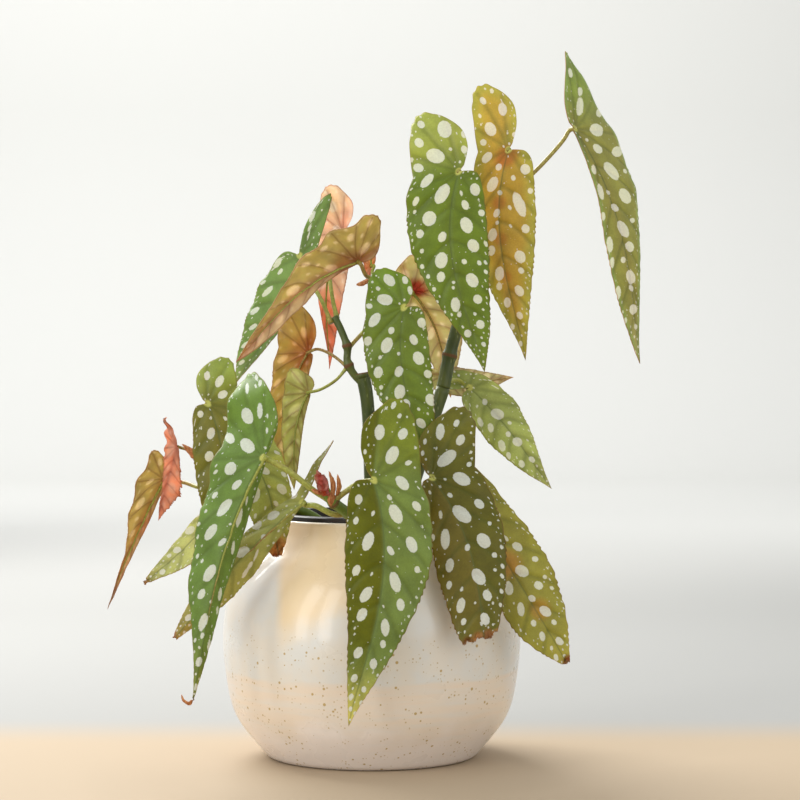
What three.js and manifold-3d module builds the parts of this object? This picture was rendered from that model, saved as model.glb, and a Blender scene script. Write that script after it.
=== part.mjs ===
// A polka dot begonia with its angel-wing leaves on old canes, potted in soil in a thin nursery
// pot that hangs by its lip inside a round glazed ceramic pot.
// Millimetres, +Z up. The origin is the centre of the ceramic pot's foot, on the surface below it.
// The plant is seen from the front, along +Y, so left is -X and the front leaves have negative Y.
import * as THREE from 'three';
import { mergeVertices } from 'three/addons/utils/BufferGeometryUtils.js';
import Module from 'manifold-3d';

const wasm = await Module();
wasm.setup();

// ---- Driving dimensions ----
const POT_HEIGHT = 146.5; // foot to the top of the ceramic rim
const BELLY_RADIUS = 91.5;
const FOOT_RADIUS = 62;
const RIM_RADIUS = 60.5; // outside of the ceramic rim
const MOUTH_RADIUS = 55.5; // inside of the ceramic rim
const POT_FLOOR = 9; // thickness of the ceramic floor
const LIP_RADIUS = 58.3; // outside of the nursery pot's lip
const LIP_HEIGHT = 2.8;
const LINER_RADIUS = 53.8; // nursery pot under its lip
const LINER_FOOT_RADIUS = 43;
const LINER_FLOOR = 30; // height of its floor above the surface
const LINER_WALL = 1.3;
const DRAIN_COUNT = 6; // holes in the nursery pot's floor
const DRAIN_RADIUS = 4;
const DRAIN_RING = 28; // how far the holes lie from the middle
const SOIL_TOP = 139.5; // soil at the wall; it is mounded in the middle
const SOIL_MOUND = 3.5;
const CHIP_COUNT = 10; // bark chips on the soil
const CHIP_SPREAD = 47; // how far from the middle they lie
const CANE_RADIUS = 4.2;
const SHOOT_RADIUS = 2.8;
const BLADE_THICKNESS = 0.8;
const STALK_RADIUS = 1.5;
const STALK_BEND = 4; // the petiole turns to meet the blade squarely over this length
const SEAT_GAP = 0.3; // between pieces that touch

// ---- Colours ----
const paint = (color, roughness) => new THREE.MeshStandardMaterial({ color, roughness, metalness: 0 });
const GLAZE = paint(0xe9e1d2, 0.2);
const BLACK_PLASTIC = paint(0x17181a, 0.45);
const SOIL = paint(0x4a3527, 0.95);
const CANE = paint(0x4d6135, 0.5);
const LEAF_GREEN = paint(0x63803a, 0.45);
const LEAF_OLIVE = paint(0x93862f, 0.45);
const LEAF_TAN = paint(0xb98f5e, 0.55);
const LEAF_PINK = paint(0xdf7d68, 0.55);
const LEAF_RED = paint(0x8d3a34, 0.6);

// ---- Solids ----
// Geometry with normals has a vertex for each face corner, so those are merged first. A blade is
// made with shared vertices already.
function toSolid(geometry) {
  const shared = geometry.attributes.normal ? mergeCorners(geometry) : geometry;
  const vertProperties = new Float32Array(shared.attributes.position.array);
  const triVerts = new Uint32Array(shared.index.array);
  return new wasm.Manifold(new wasm.Mesh({ numProp: 3, vertProperties, triVerts }));
}

function mergeCorners(geometry) {
  const bare = geometry.clone();
  bare.deleteAttribute('normal');
  bare.deleteAttribute('uv');
  const merged = mergeVertices(bare, 1e-3);
  const corners = merged.index.array;
  const kept = [];
  for (let i = 0; i < corners.length; i += 3) {
    const [a, b, c] = corners.slice(i, i + 3);
    if (a !== b && b !== c && c !== a) kept.push(a, b, c);
  }
  return merged.setIndex(kept);
}

function toGeometry(solid) {
  const mesh = solid.getMesh();
  const geometry = new THREE.BufferGeometry();
  geometry.setAttribute('position', new THREE.BufferAttribute(mesh.vertProperties, 3));
  geometry.setIndex(new THREE.BufferAttribute(mesh.triVerts, 1));
  return geometry;
}

function fuse(solids) {
  return solids.reduce((whole, solid) => whole.add(solid));
}

const vec = ([x, y, z]) => new THREE.Vector3(x, y, z);
const radians = THREE.MathUtils.degToRad;

// A round body about Z from [radius, height] pairs, which start and end on the axis.
function turned(profile, segments) {
  const points = profile.map(([r, z]) => new THREE.Vector2(r, z));
  return new THREE.LatheGeometry(points, segments).rotateX(Math.PI / 2);
}

// A round bar along a smooth line through the points.
function bar(points, radius, sides, steps) {
  const path = new THREE.CatmullRomCurve3(points.map(vec), false, 'centripetal');
  const section = new THREE.Shape();
  for (let i = 0; i < sides; i += 1) {
    const angle = (2 * Math.PI * i) / sides;
    const corner = [radius * Math.cos(angle), radius * Math.sin(angle)];
    if (i === 0) section.moveTo(...corner);
    else section.lineTo(...corner);
  }
  section.closePath();
  return new THREE.ExtrudeGeometry(section, { steps, extrudePath: path });
}

// ---- Pots and soil ----
// The outside of the ceramic pot, from the edge of its foot to its rim.
const POT_OUTSIDE = [
  [FOOT_RADIUS, 0],
  [FOOT_RADIUS + 4, 2.6],
  [76.0, 14.5],
  [82.3, 23.5],
  [86.5, 33.5],
  [89.6, 50],
  [BELLY_RADIUS, 69],
  [90.9, 84],
  [88.2, 98],
  [83.0, 110],
  [75.6, 121.5],
  [68.4, 130.5],
  [63.4, 138],
  [RIM_RADIUS, 144.8],
  [RIM_RADIUS - 0.9, POT_HEIGHT],
];
// Its inside, from the rim down to the middle of the floor.
const POT_INSIDE = [
  [MOUTH_RADIUS + 0.8, POT_HEIGHT],
  [MOUTH_RADIUS, 144.8],
  [57.6, 137],
  [66.5, 125],
  [78.0, 108],
  [85.0, 84],
  [85.6, 68],
  [83.4, 48],
  [78.0, 29],
  [66.0, 14],
  [50.0, POT_FLOOR],
];

function ceramicPot() {
  return turned([[0, 0], ...POT_OUTSIDE, ...POT_INSIDE, [0, POT_FLOOR]], 36);
}

const LIP_BOTTOM = POT_HEIGHT + SEAT_GAP;
const LIP_TOP = LIP_BOTTOM + LIP_HEIGHT;

function nurseryPot() {
  const shell = toSolid(turned([
    [0, LINER_FLOOR],
    [LINER_FOOT_RADIUS, LINER_FLOOR],
    [LINER_RADIUS, 138],
    [LINER_RADIUS + 0.3, LIP_BOTTOM],
    [LIP_RADIUS, LIP_BOTTOM],
    [LIP_RADIUS, LIP_TOP - 0.7],
    [LIP_RADIUS - 0.8, LIP_TOP],
    [LINER_RADIUS - 0.3, LIP_TOP],
    [LINER_RADIUS - LINER_WALL, LIP_TOP - 1.8],
    [LINER_RADIUS - LINER_WALL, 138],
    [LINER_FOOT_RADIUS - LINER_WALL, LINER_FLOOR + LINER_WALL],
    [0, LINER_FLOOR + LINER_WALL],
  ], 36));
  const drains = [];
  for (let i = 0; i < DRAIN_COUNT; i += 1) {
    const angle = (2 * Math.PI * i) / DRAIN_COUNT;
    const hole = new THREE.CylinderGeometry(DRAIN_RADIUS, DRAIN_RADIUS, 10, 10).rotateX(Math.PI / 2);
    hole.translate(DRAIN_RING * Math.cos(angle), DRAIN_RING * Math.sin(angle), LINER_FLOOR);
    drains.push(toSolid(hole));
  }
  return shell.subtract(fuse(drains));
}

function soil(canes) {
  const bottom = LINER_FLOOR + LINER_WALL + SEAT_GAP;
  const wall = LINER_WALL + SEAT_GAP;
  const body = toSolid(turned([
    [0, bottom],
    [LINER_FOOT_RADIUS - wall, bottom],
    [LINER_RADIUS - wall, 138],
    [LINER_RADIUS - wall, SOIL_TOP],
    [40, SOIL_TOP + SOIL_MOUND * 0.35],
    [22, SOIL_TOP + SOIL_MOUND * 0.85],
    [0, SOIL_TOP + SOIL_MOUND],
  ], 28));
  return fuse([body, ...barkChips()]).subtract(fuse(canes));
}

// Bark and root crumbs that stand half out of the soil, in a golden-angle spread.
function barkChips() {
  const chips = [];
  for (let i = 0; i < CHIP_COUNT; i += 1) {
    const distance = CHIP_SPREAD * Math.sqrt((i + 0.5) / CHIP_COUNT);
    const angle = 2.4 * i;
    const chip = new THREE.BoxGeometry(7 + (i % 4), 4 + (i % 3), 3);
    chip.rotateX(0.4 * Math.sin(i * 1.7)).rotateY(0.5 * Math.cos(i * 2.3)).rotateZ(angle * 3);
    const height = SOIL_TOP + SOIL_MOUND * (1 - distance / LINER_RADIUS);
    chip.translate(distance * Math.cos(angle), distance * Math.sin(angle), height);
    chips.push(toSolid(chip));
  }
  return chips;
}

// ---- Canes ----
// Each cane is a run of bars through its points, with a raised ring at every leaf joint, a stub
// where it was pruned, and the dry stipules that its last leaf came out of. Each of them is
// [radius, ...points]. grow makes the cane thicker, for the seats of what touches it.
const CANES = {
  cane_left: {
    bars: [
      [CANE_RADIUS, [2, 2, 110], [0, 2, 148], [-1, 1, 190], [-3, 0, 220], [-5.5, 0, 234]],
      [SHOOT_RADIUS, [-6, 0, 229], [-12, 0, 236], [-15, 0, 243], [-15, 0, 251], [-19, 1, 262], [-23, 2, 270]],
    ],
    rings: [
      [CANE_RADIUS + 0.8, [-1.3, 1, 196], [-1.4, 1, 198.4]],
      [SHOOT_RADIUS + 0.8, [-13.6, 0, 238.4], [-14.8, 0, 241.4]],
      [SHOOT_RADIUS + 0.7, [-14.8, 0, 251], [-15.6, 0, 253.2]],
    ],
    stubs: [[CANE_RADIUS + 0.5, [-5.2, 0, 232], [-5.8, 0, 235.4]]],
    stipules: [],
  },
  cane_middle: {
    bars: [
      [3.6, [10, 15, 112], [8, 15, 148], [10, 17, 200], [13, 18, 240]],
      [SHOOT_RADIUS, [13, 18, 238], [12, 18, 262], [8, 18, 280], [0, 19, 294]],
    ],
    rings: [
      [4.3, [12.8, 18, 237.5], [13, 18, 240.5]],
      [3.5, [9.5, 18, 275.5], [8.2, 18, 278.4]],
    ],
    stubs: [],
    stipules: [[1.3, [0, 18, 294], [-6, 20, 291], [-10, 20, 290]]],
  },
  cane_right: {
    bars: [
      [CANE_RADIUS, [18, -6, 112], [21, -5, 148], [30, -3, 182], [44, 0, 226]],
      [CANE_RADIUS - 0.2, [44, 0, 226], [48, 2, 246], [54, 3, 268], [62, 4, 296]],
      [SHOOT_RADIUS, [61.6, 4, 294], [68, 4, 316], [73, 5, 334]],
    ],
    rings: [
      [CANE_RADIUS + 0.8, [29.6, -3, 180.6], [30.4, -3, 183.6]],
      [CANE_RADIUS + 0.8, [47.6, 2, 244.6], [48.4, 2, 247.4]],
      [CANE_RADIUS + 0.6, [61, 4, 293], [62, 4, 296.5]],
    ],
    stubs: [],
    stipules: [],
  },
  shoot_front: {
    bars: [
      [SHOOT_RADIUS + 0.3, [2, -28, 120], [-2, -32, 146], [-7, -50, 153.6], [-13, -74, 153.8], [-21, -83, 160]],
      [SHOOT_RADIUS - 0.2, [-20.4, -82.6, 159.4], [-24, -86, 163.4], [-26, -88, 168]],
    ],
    rings: [
      [SHOOT_RADIUS + 1.1, [-12, -72, 153.6], [-14, -75.6, 154.4]],
      [SHOOT_RADIUS + 0.9, [-20.6, -82.8, 159.6], [-22.4, -84.4, 161.4]],
    ],
    stubs: [],
    stipules: [[2, [-22, -86, 160], [-24, -90, 166], [-24, -91, 175]]],
  },
  shoot_left: {
    bars: [
      [SHOOT_RADIUS + 0.4, [-16, 2, 116], [-24, 2, 136], [-40, -2, 149], [-58, -8, 154.6], [-80, -12, 164]],
      [SHOOT_RADIUS - 0.3, [-79, -12, 163.6], [-92, -10, 171], [-101, -7, 180]],
    ],
    rings: [
      [SHOOT_RADIUS + 1, [-78.6, -12, 163.2], [-81, -12, 164.6]],
      [SHOOT_RADIUS + 0.6, [-91, -10, 170.4], [-93, -9.8, 171.9]],
    ],
    stubs: [],
    stipules: [[1.9, [-101, -8, 179], [-108, -9, 185], [-116, -9, 192]]],
  },
};

function caneSolid(cane, grow) {
  const parts = [];
  for (const [radius, ...points] of cane.bars) {
    parts.push(toSolid(bar(points, radius + grow, 8, 2 * points.length - 2)));
  }
  for (const [radius, ...points] of [...cane.rings, ...cane.stubs]) {
    parts.push(toSolid(bar(points, radius + grow, 8, 1)));
  }
  for (const [radius, ...points] of cane.stipules) {
    parts.push(toSolid(bar(points, radius + grow, 5, 2)));
  }
  return fuse(parts);
}

// ---- Leaves ----
// A leaf is drawn flat first: a runs along the midrib from the petiole (0) to the tip (1), and b
// runs across it, in leaf lengths. The big half has a round ear that reaches back past the
// petiole; the small half only has a shoulder.
const plane = (points) => new THREE.SplineCurve(points.map(([a, b]) => new THREE.Vector2(a, b)));
const BIG_EAR = plane([
  [-0.03, -0.03], [-0.12, -0.064], [-0.21, -0.055], [-0.285, 0.01], [-0.325, 0.075], [-0.315, 0.135],
  [-0.25, 0.175], [-0.15, 0.2], [-0.03, 0.222], [0.09, 0.225], [0.21, 0.208],
]);
const BIG_SIDE = plane([
  [0.21, 0.208], [0.35, 0.188], [0.50, 0.153], [0.65, 0.11], [0.80, 0.062], [0.92, 0.023], [1, 0],
]);
const SMALL_EAR = plane([[0, -0.03], [0.015, -0.09], [0.08, -0.135], [0.18, -0.16]]);
const SMALL_SIDE = plane([
  [0.18, -0.16], [0.32, -0.17], [0.47, -0.157], [0.62, -0.122], [0.77, -0.08], [0.90, -0.033], [1, 0],
]);
const EAR_ROWS = { big: 5, small: 3 };
const SIDE_ROWS = 8;
const COLUMNS = { big: 3, small: 2 };
const WIDTH_PLACES = [-0.3, 0, 0.3, 0.6, 0.9]; // along the midrib
const VEIN_BOW = 0.16; // how far the side veins curve back, of their length

// What a leaf has where its own row of the table gives nothing. Angles are in degrees.
const PLAIN_LEAF = {
  big: -1, // the side of the big half: -1 left, 1 right, with the upper face in view and the tip down
  bigWidth: [1, 1, 1, 1, 1], // of each half, against the plain outline, at each of WIDTH_PLACES
  smallWidth: [1, 1, 1, 1, 1],
  ear: 1, // length of the ear
  lean: 0, // how far the ear leans towards the big half
  sabre: 0.08, // sideways bow of the midrib towards the big half
  foldBig: 0, // each half drops by this angle at the midrib, and curls down by this much more
  foldSmall: 0, // by a fifth of the leaf's length away from it
  curlBig: 12,
  curlSmall: 12,
  arch: 0.03, // bow of the midrib towards the upper face
  earCurl: 0.25,
  wave: 0.008, // height of the waves in the margin
  waves: 4,
  phase: 0,
  twist: 0,
  cut: 1, // how much of the length is left where the tip has broken off
  radius: STALK_RADIUS,
  colour: LEAF_GREEN,
};

// The sideways bow of the midrib, which lies nearer to the petiole than to the tip.
function midribBow(a) {
  return a > 0 ? 5.2 * a * (1 - a) ** 1.5 : 0;
}

// The middle surface of a leaf: flat place (a, b) to a point in space.
function leafPoint(leaf, a, b) {
  const attach = vec(leaf.attach);
  const along = vec(leaf.tip).sub(attach);
  const length = along.length();
  along.normalize();
  const up = vec(leaf.face).addScaledVector(along, -vec(leaf.face).dot(along)).normalize();
  const across = new THREE.Vector3().crossVectors(up, along).multiplyScalar(leaf.big);
  const onBig = b > 0;
  const fold = radians(onBig ? leaf.foldBig : leaf.foldSmall);
  const curl = radians(onBig ? leaf.curlBig : leaf.curlSmall);
  const reach = Math.abs(b);
  const angle = fold + (curl * reach) / 0.4;
  const bent = b * Math.cos(angle);
  let height = -reach * Math.sin(angle);
  height += a > 0 ? leaf.arch * 4 * a * (1 - a) : leaf.arch * 4 * a - leaf.earCurl * a * a;
  height += leaf.wave * (reach / 0.15) ** 2 * Math.sin(2 * Math.PI * leaf.waves * a + leaf.phase);
  const side = bent + leaf.sabre * midribBow(a);
  const turn = radians(leaf.twist) * a;
  const point = attach.clone().addScaledVector(along, a * length);
  point.addScaledVector(across, length * (side * Math.cos(turn) - height * Math.sin(turn)));
  return point.addScaledVector(up, length * (side * Math.sin(turn) + height * Math.cos(turn)));
}

// How wide a half is at place a, against the plain outline.
function widthAt(widths, a) {
  const spot = THREE.MathUtils.clamp((a - WIDTH_PLACES[0]) / 0.3, 0, widths.length - 1);
  const step = Math.min(Math.floor(spot), widths.length - 2);
  return THREE.MathUtils.lerp(widths[step], widths[step + 1], spot - step);
}

// One row of flat places from the midrib to the margin, along the way the side veins run.
function veinRow(leaf, inner, outer, widths, columns) {
  const row = [];
  const bow = VEIN_BOW * Math.abs(outer.y) * Math.min(1, inner / 0.25);
  for (let column = 1; column <= columns; column += 1) {
    const v = column / columns;
    const a = inner + (outer.x - inner) * v - bow * 4 * v * (1 - v);
    const b = outer.y * v * widthAt(widths, a);
    row.push(a < 0 ? [a * leaf.ear, b - a * leaf.lean] : [Math.min(a, leaf.cut), b]);
  }
  return row;
}

function leafBlade(leaf) {
  const flat = [[0, 0]];
  const midrib = [0];
  for (let k = 1; k <= SIDE_ROWS; k += 1) {
    midrib.push(flat.length);
    flat.push([(leaf.cut * k) / SIDE_ROWS, 0]);
  }
  const triangles = [];
  const addHalf = (ear, side, earRows, columns, widths, turn) => {
    const rows = [];
    for (let j = 0; j < earRows; j += 1) {
      const places = veinRow(leaf, 0, ear.getPoint(j / earRows), widths, columns);
      rows.push([0, ...places.map((place) => flat.push(place) - 1)]);
    }
    for (let k = 0; k <= SIDE_ROWS; k += 1) {
      const s = (leaf.cut * k) / SIDE_ROWS;
      const places = s < 1 ? veinRow(leaf, s, side.getPoint(s), widths, columns) : [];
      const margin = places.map((place) => flat.push(place) - 1);
      rows.push(s < 1 ? [midrib[k], ...margin] : Array(columns + 1).fill(midrib[k]));
    }
    for (let r = 0; r + 1 < rows.length; r += 1) {
      for (let c = 0; c < columns; c += 1) {
        const [p, q] = [rows[r][c], rows[r][c + 1]];
        const [t, u] = [rows[r + 1][c], rows[r + 1][c + 1]];
        triangles.push(...[[p, q, u], [p, u, t]].map((corners) => (turn > 0 ? corners : corners.reverse())));
      }
    }
  };
  addHalf(BIG_EAR, BIG_SIDE, EAR_ROWS.big, COLUMNS.big, leaf.bigWidth, -leaf.big);
  addHalf(SMALL_EAR, SMALL_SIDE, EAR_ROWS.small, COLUMNS.small, leaf.smallWidth, leaf.big);
  const facing = triangles.filter(([p, q, r]) => p !== q && q !== r && r !== p);
  return slab(flat.map(([a, b]) => leafPoint(leaf, a, b)), facing, BLADE_THICKNESS);
}

// A closed plate about a middle surface, with the same triangles on both faces.
function slab(points, triangles, thickness) {
  const normals = points.map(() => new THREE.Vector3());
  for (const [p, q, r] of triangles) {
    const one = points[q].clone().sub(points[p]);
    const two = points[r].clone().sub(points[p]);
    const normal = one.cross(two);
    [p, q, r].forEach((corner) => normals[corner].add(normal));
  }
  normals.forEach((normal) => normal.normalize());
  const count = points.length;
  const upper = points.map((point, i) => point.clone().addScaledVector(normals[i], thickness / 2));
  const lower = points.map((point, i) => point.clone().addScaledVector(normals[i], -thickness / 2));
  const edges = new Map();
  const index = [];
  for (const [p, q, r] of triangles) {
    index.push(p, q, r, count + p, count + r, count + q);
    [[p, q], [q, r], [r, p]].forEach(([from, to]) => edges.set(`${from},${to}`, [from, to]));
  }
  for (const [from, to] of edges.values()) {
    if (edges.has(`${to},${from}`)) continue;
    index.push(to, from, count + from, to, count + from, count + to);
  }
  const geometry = new THREE.BufferGeometry().setFromPoints([...upper, ...lower]);
  geometry.setIndex(index);
  return geometry;
}

function leafSolid(leaf) {
  const blade = toSolid(leafBlade(leaf));
  const attach = vec(leaf.attach);
  const along = vec(leaf.tip).sub(attach).normalize();
  const up = vec(leaf.face).addScaledVector(along, -vec(leaf.face).dot(along)).normalize();
  const before = attach.clone().addScaledVector(up, -STALK_BEND);
  const points = [...leaf.stalk, before.toArray(), attach.toArray()];
  return blade.add(toSolid(bar(points, leaf.radius, 6, 5)));
}

// The largest of the separate pieces of a solid.
function mainPiece(solid) {
  return solid.decompose().sort((one, two) => two.volume() - one.volume())[0];
}

// Every leaf: where its petiole meets the blade, its tip, the way its upper face looks, and the
// way of its petiole from the cane.
const LEAVES = [
  // The three leaves at the top of the right cane.
  { name: 'leaf_crown_left', attach: [53, -30, 357], tip: [68, -42, 236], face: [-0.1, -1, 0.15],
    cane: 'cane_right', stalk: [[66, 4, 310], [63, -2, 330], [57, -16, 350]], sabre: 0.09, lean: 0.1,
    bigWidth: [1.1, 1.05, 1.05, 1.05, 1], smallWidth: [1, 1, 1.1, 1.15, 1.3] },
  { name: 'leaf_crown_middle', attach: [84, -6, 372], tip: [94, -12, 243], face: [0.05, -1, 0.1],
    cane: 'cane_right', stalk: [[69, 3, 320], [75, -1, 340], [81, 0, 362]], colour: LEAF_OLIVE,
    bigWidth: [0.9, 0.65, 0.6, 0.8, 0.8], smallWidth: [1, 1, 1.05, 1, 0.8] },
  { name: 'leaf_crown_right', attach: [126, 18, 387], tip: [167, 22, 241], face: [0.75, -0.65, 0.1], big: 1,
    cane: 'cane_right', stalk: [[73, 5, 333], [86, 9, 346], [104, 14, 363], [119, 19, 380]], lean: 0.55,
    bigWidth: [0.35, 1.3, 1.15, 0.75, 0.5], smallWidth: [0.2, 0.2, 0.45, 0.9, 1.2] },
  // Leaves of the middle cane.
  { name: 'leaf_centre', attach: [20, -38, 275], tip: [39, -44, 171], face: [-0.05, -1, 0.1],
    cane: 'cane_middle', stalk: [[9, 18, 276], [12, 0, 280], [17, -24, 280]], ear: 0.75 },
  { name: 'leaf_centre_back', attach: [25, 42, 286], tip: [50, 58, 219], face: [0.1, 1, 0.2],
    cane: 'cane_left', stalk: [[-15, 0, 250], [-4, 10, 262], [8, 32, 276], [20, 38, 283]], colour: LEAF_TAN,
    bigWidth: [1.4, 1.4, 1.4, 1.4, 1.4] },
  { name: 'leaf_right_back', attach: [45, 38, 234], tip: [90, 62, 232], face: [0, 1, -0.2], big: 1,
    cane: 'cane_right', stalk: [[48, 2, 246], [47, 14, 246], [45, 28, 240]], colour: LEAF_TAN },
  { name: 'leaf_right_middle', attach: [61, 28, 226], tip: [112, 20, 163], face: [0.1, -1, 0.3], big: 1,
    cane: 'cane_right', stalk: [[44, 0, 226], [48, 12, 230], [55, 26, 230]],
    ear: 0.6, lean: -0.5, sabre: 0.02,
    bigWidth: [1, 0.7, 1, 1, 0.8], smallWidth: [1, 1, 1.05, 1.2, 1.3] },
  // Leaves round the front.
  { name: 'leaf_front', attach: [2, -94, 174], tip: [-12, -114, 34], face: [0.05, -1, 0.12], big: 1,
    cane: 'shoot_front', stalk: [[-22, -84, 161], [-14, -84, 167], [-6, -86, 172]], radius: 2,
    lean: -0.05,
    bigWidth: [0.9, 0.9, 1, 1, 1.1], smallWidth: [0.9, 0.9, 0.95, 0.85, 0.8], ear: 1.08 },
  { name: 'leaf_front_right', attach: [36, -66, 174], tip: [69, -98, 57], face: [0.1, -1, 0.1], big: 1,
    cane: 'cane_right', stalk: [[23, -5, 152], [26, -26, 154], [31, -48, 162]], cut: 0.8,
    lean: 0.33, bigWidth: [1.2, 0.95, 0.95, 1, 1], smallWidth: [0.6, 0.6, 0.95, 1.25, 1.6] },
  { name: 'leaf_low_right', attach: [49, -57, 172], tip: [118, -66, 61], face: [0.3, -1, 0.1], big: 1,
    cane: 'cane_right', stalk: [[32, -3, 184], [40, -16, 188], [45, -36, 178]], sabre: 0,
    ear: 0.5, lean: -0.2, bigWidth: [0.6, 0.55, 0.85, 1.35, 1.9], smallWidth: [0.8, 0.8, 0.75, 1.05, 1.9],
    colour: LEAF_OLIVE },
  { name: 'leaf_front_left', attach: [-62, -92, 187], tip: [-102, -104, 47], face: [-0.5, -0.85, 0.1],
    cane: 'shoot_front', stalk: [[-22, -84, 161], [-32, -86, 167], [-46, -88, 178]], radius: 2,
    foldSmall: 80, lean: 0.4, sabre: 0.04,
    bigWidth: [1, 1, 0.85, 0.9, 0.5], smallWidth: [0.3, 0.3, 0.5, 0.5, 0.6] },
  // Leaves round the left.
  { name: 'leaf_left_folded', attach: [-40, -74, 160], tip: [-118, -72, 76], face: [-0.4, -0.8, 0.5],
    cane: 'shoot_front', stalk: [[-13, -74, 153.8], [-21, -77, 153], [-32, -76, 158]], radius: 2,
    foldSmall: 60, sabre: 0.02, lean: 0.3,
    bigWidth: [0.15, 0.5, 0.5, 0.7, 1.2], smallWidth: [0.15, 0.15, 0.5, 0.9, 0.9] },
  { name: 'leaf_left_inner', attach: [-73, -50, 187], tip: [-61, -60, 124], face: [0.1, -1, 0.1], big: 1,
    cane: 'shoot_left', stalk: [[-79, -12, 163.5], [-76, -22, 178], [-73, -38, 186]], cut: 0.9,
    colour: LEAF_OLIVE, bigWidth: [1.3, 1.2, 1.05, 1.3, 1.7], smallWidth: [1.1, 1.1, 1.3, 1.5, 2] },
  { name: 'leaf_left_upper', attach: [-99, -30, 217], tip: [-91, -40, 123], face: [-0.1, -1, 0.1], big: 1,
    cane: 'shoot_left', stalk: [[-92, -10, 171], [-97, -10, 192], [-99, -16, 212]], colour: LEAF_OLIVE,
    ear: 0.9, bigWidth: [1.1, 0.85, 0.75, 1, 1.6], smallWidth: [0.9, 0.9, 1.1, 1.2, 1.2] },
  { name: 'leaf_left_low', attach: [-92, 4, 157], tip: [-145, 24, 101], face: [-0.3, -0.8, 0.5], big: 1,
    cane: 'shoot_left', stalk: [[-88, -11, 168.5], [-86, 0, 168], [-89, 7, 163]], colour: LEAF_OLIVE,
    smallWidth: [0.75, 0.75, 0.75, 0.75, 0.75] },
  { name: 'leaf_left_outer', attach: [-131, 30, 169], tip: [-168, 45, 85], face: [-0.6, 0.7, 0.5], big: 1,
    cane: 'shoot_left', stalk: [[-98, -8, 177], [-104, 4, 165], [-118, 20, 167]], colour: LEAF_TAN,
    foldSmall: 80, sabre: 0, ear: 0.6, lean: 0.4,
    bigWidth: [0.7, 1, 0.75, 0.2, 0.2], smallWidth: [0.3, 0.3, 0.3, 0.3, 0.3] },
  { name: 'leaf_young_pink', attach: [-119, -6, 190], tip: [-131, -8, 145], face: [-0.3, -1, 0.1],
    cane: 'shoot_left', stalk: [[-101, -7, 180], [-110, -5, 187]], colour: LEAF_PINK, radius: 1.1,
    sabre: 0, lean: 0.9, wave: 0.02, waves: 6,
    bigWidth: [0.3, 0.8, 0.55, 0.3, 0.5], smallWidth: [0.3, 0.3, 0.8, 1.6, 1.5] },
  // Leaves of the left cane's side shoot, and the undersides that show round it.
  { name: 'leaf_shoot_back', attach: [-46, 36, 309], tip: [-87, 38, 227], face: [-0.3, -1, 0.2], big: 1,
    cane: 'cane_left', stalk: [[-25, 1, 266], [-31, 8, 280], [-42, 24, 298]], ear: 1.45, lean: -0.28,
    bigWidth: [0.5, 0.5, 0.4, 0.4, 0.5], smallWidth: [1.15, 1.15, 1.4, 1.5, 1.5] },
  { name: 'leaf_shoot_tan', attach: [-9, 8, 304], tip: [-83, -12, 242], face: [-0.3, 0.8, 0.6], big: 1,
    cane: 'cane_middle', stalk: [[0, 19, 294], [-4, 8, 296]], colour: LEAF_TAN,
    foldSmall: 80, ear: 0.75, lean: 0.3,
    bigWidth: [1.1, 1.45, 1.15, 0.65, 0.8], smallWidth: [0.2, 0.2, 0.4, 0.8, 1.2] },
  { name: 'leaf_shoot_pale', attach: [-19, 55, 325], tip: [-28, 66, 237], face: [0.1, 1, 0.2], big: 1,
    cane: 'cane_left', stalk: [[-21.5, 3.5, 269], [-25, 11, 285], [-26, 20, 300], [-21, 33, 318]],
    colour: LEAF_TAN,
    bigWidth: [1, 0.9, 0.5, 0.35, 0.25], smallWidth: [0.7, 0.7, 0.8, 0.75, 0.7] },
  { name: 'leaf_shoot_small', attach: [-1, 30, 302], tip: [4, 34, 327], face: [-0.6, 1, 0.2],
    cane: 'cane_middle', stalk: [[1, 19, 293], [0, 24, 298]], colour: LEAF_PINK, radius: 1.1 },
  { name: 'leaf_middle_rust', attach: [-40, 26, 248], tip: [-54, 34, 170], face: [0.1, 1, 0.1], big: 1,
    cane: 'cane_left', stalk: [[-15, 0, 239], [-24, 6, 246], [-34, 16, 250]], colour: LEAF_TAN,
    bigWidth: [1.2, 1.05, 0.85, 1.2, 1.8], smallWidth: [0.5, 0.5, 0.6, 0.7, 0.7], ear: 1.2, lean: 0.25 },
  { name: 'leaf_middle_tan', attach: [-39, 6, 223], tip: [-48, 2, 163], face: [0.1, 1, 0.1], big: 1,
    cane: 'cane_left', stalk: [[-15, 0, 239], [-22, 0, 231], [-32, -1, 225]], colour: LEAF_TAN,
    bigWidth: [1.1, 1.1, 0.8, 0.9, 1.5], smallWidth: [0.3, 0.3, 0.4, 0.5, 0.5], ear: 0.7, lean: 0.2 },
  { name: 'leaf_young_withered', attach: [-27, -90, 171], tip: [-33, -90, 182], face: [-0.3, -1, 0.2],
    cane: 'shoot_front', stalk: [[-26, -88, 167], [-26.4, -88.6, 169]], colour: LEAF_RED, radius: 1.2 },
].map((leaf) => ({ ...PLAIN_LEAF, ...leaf }));

// ---- The plant in its pot ----
const plant = new THREE.Group();

function place(name, geometry, material) {
  const mesh = new THREE.Mesh(geometry, material);
  mesh.name = name;
  plant.add(mesh);
}

const grown = {};
for (const [name, cane] of Object.entries(CANES)) {
  grown[name] = caneSolid(cane, SEAT_GAP);
  place(name, toGeometry(caneSolid(cane, 0)), CANE);
}
place('ceramic_pot', toGeometry(toSolid(ceramicPot())), GLAZE);
place('nursery_pot', toGeometry(nurseryPot()), BLACK_PLASTIC);
place('soil', toGeometry(soil(Object.values(grown))), SOIL);
for (const leaf of LEAVES) {
  const solid = mainPiece(leafSolid(leaf).subtract(grown[leaf.cane]));
  place(leaf.name, toGeometry(solid), leaf.colour);
}

export default plant;
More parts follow.
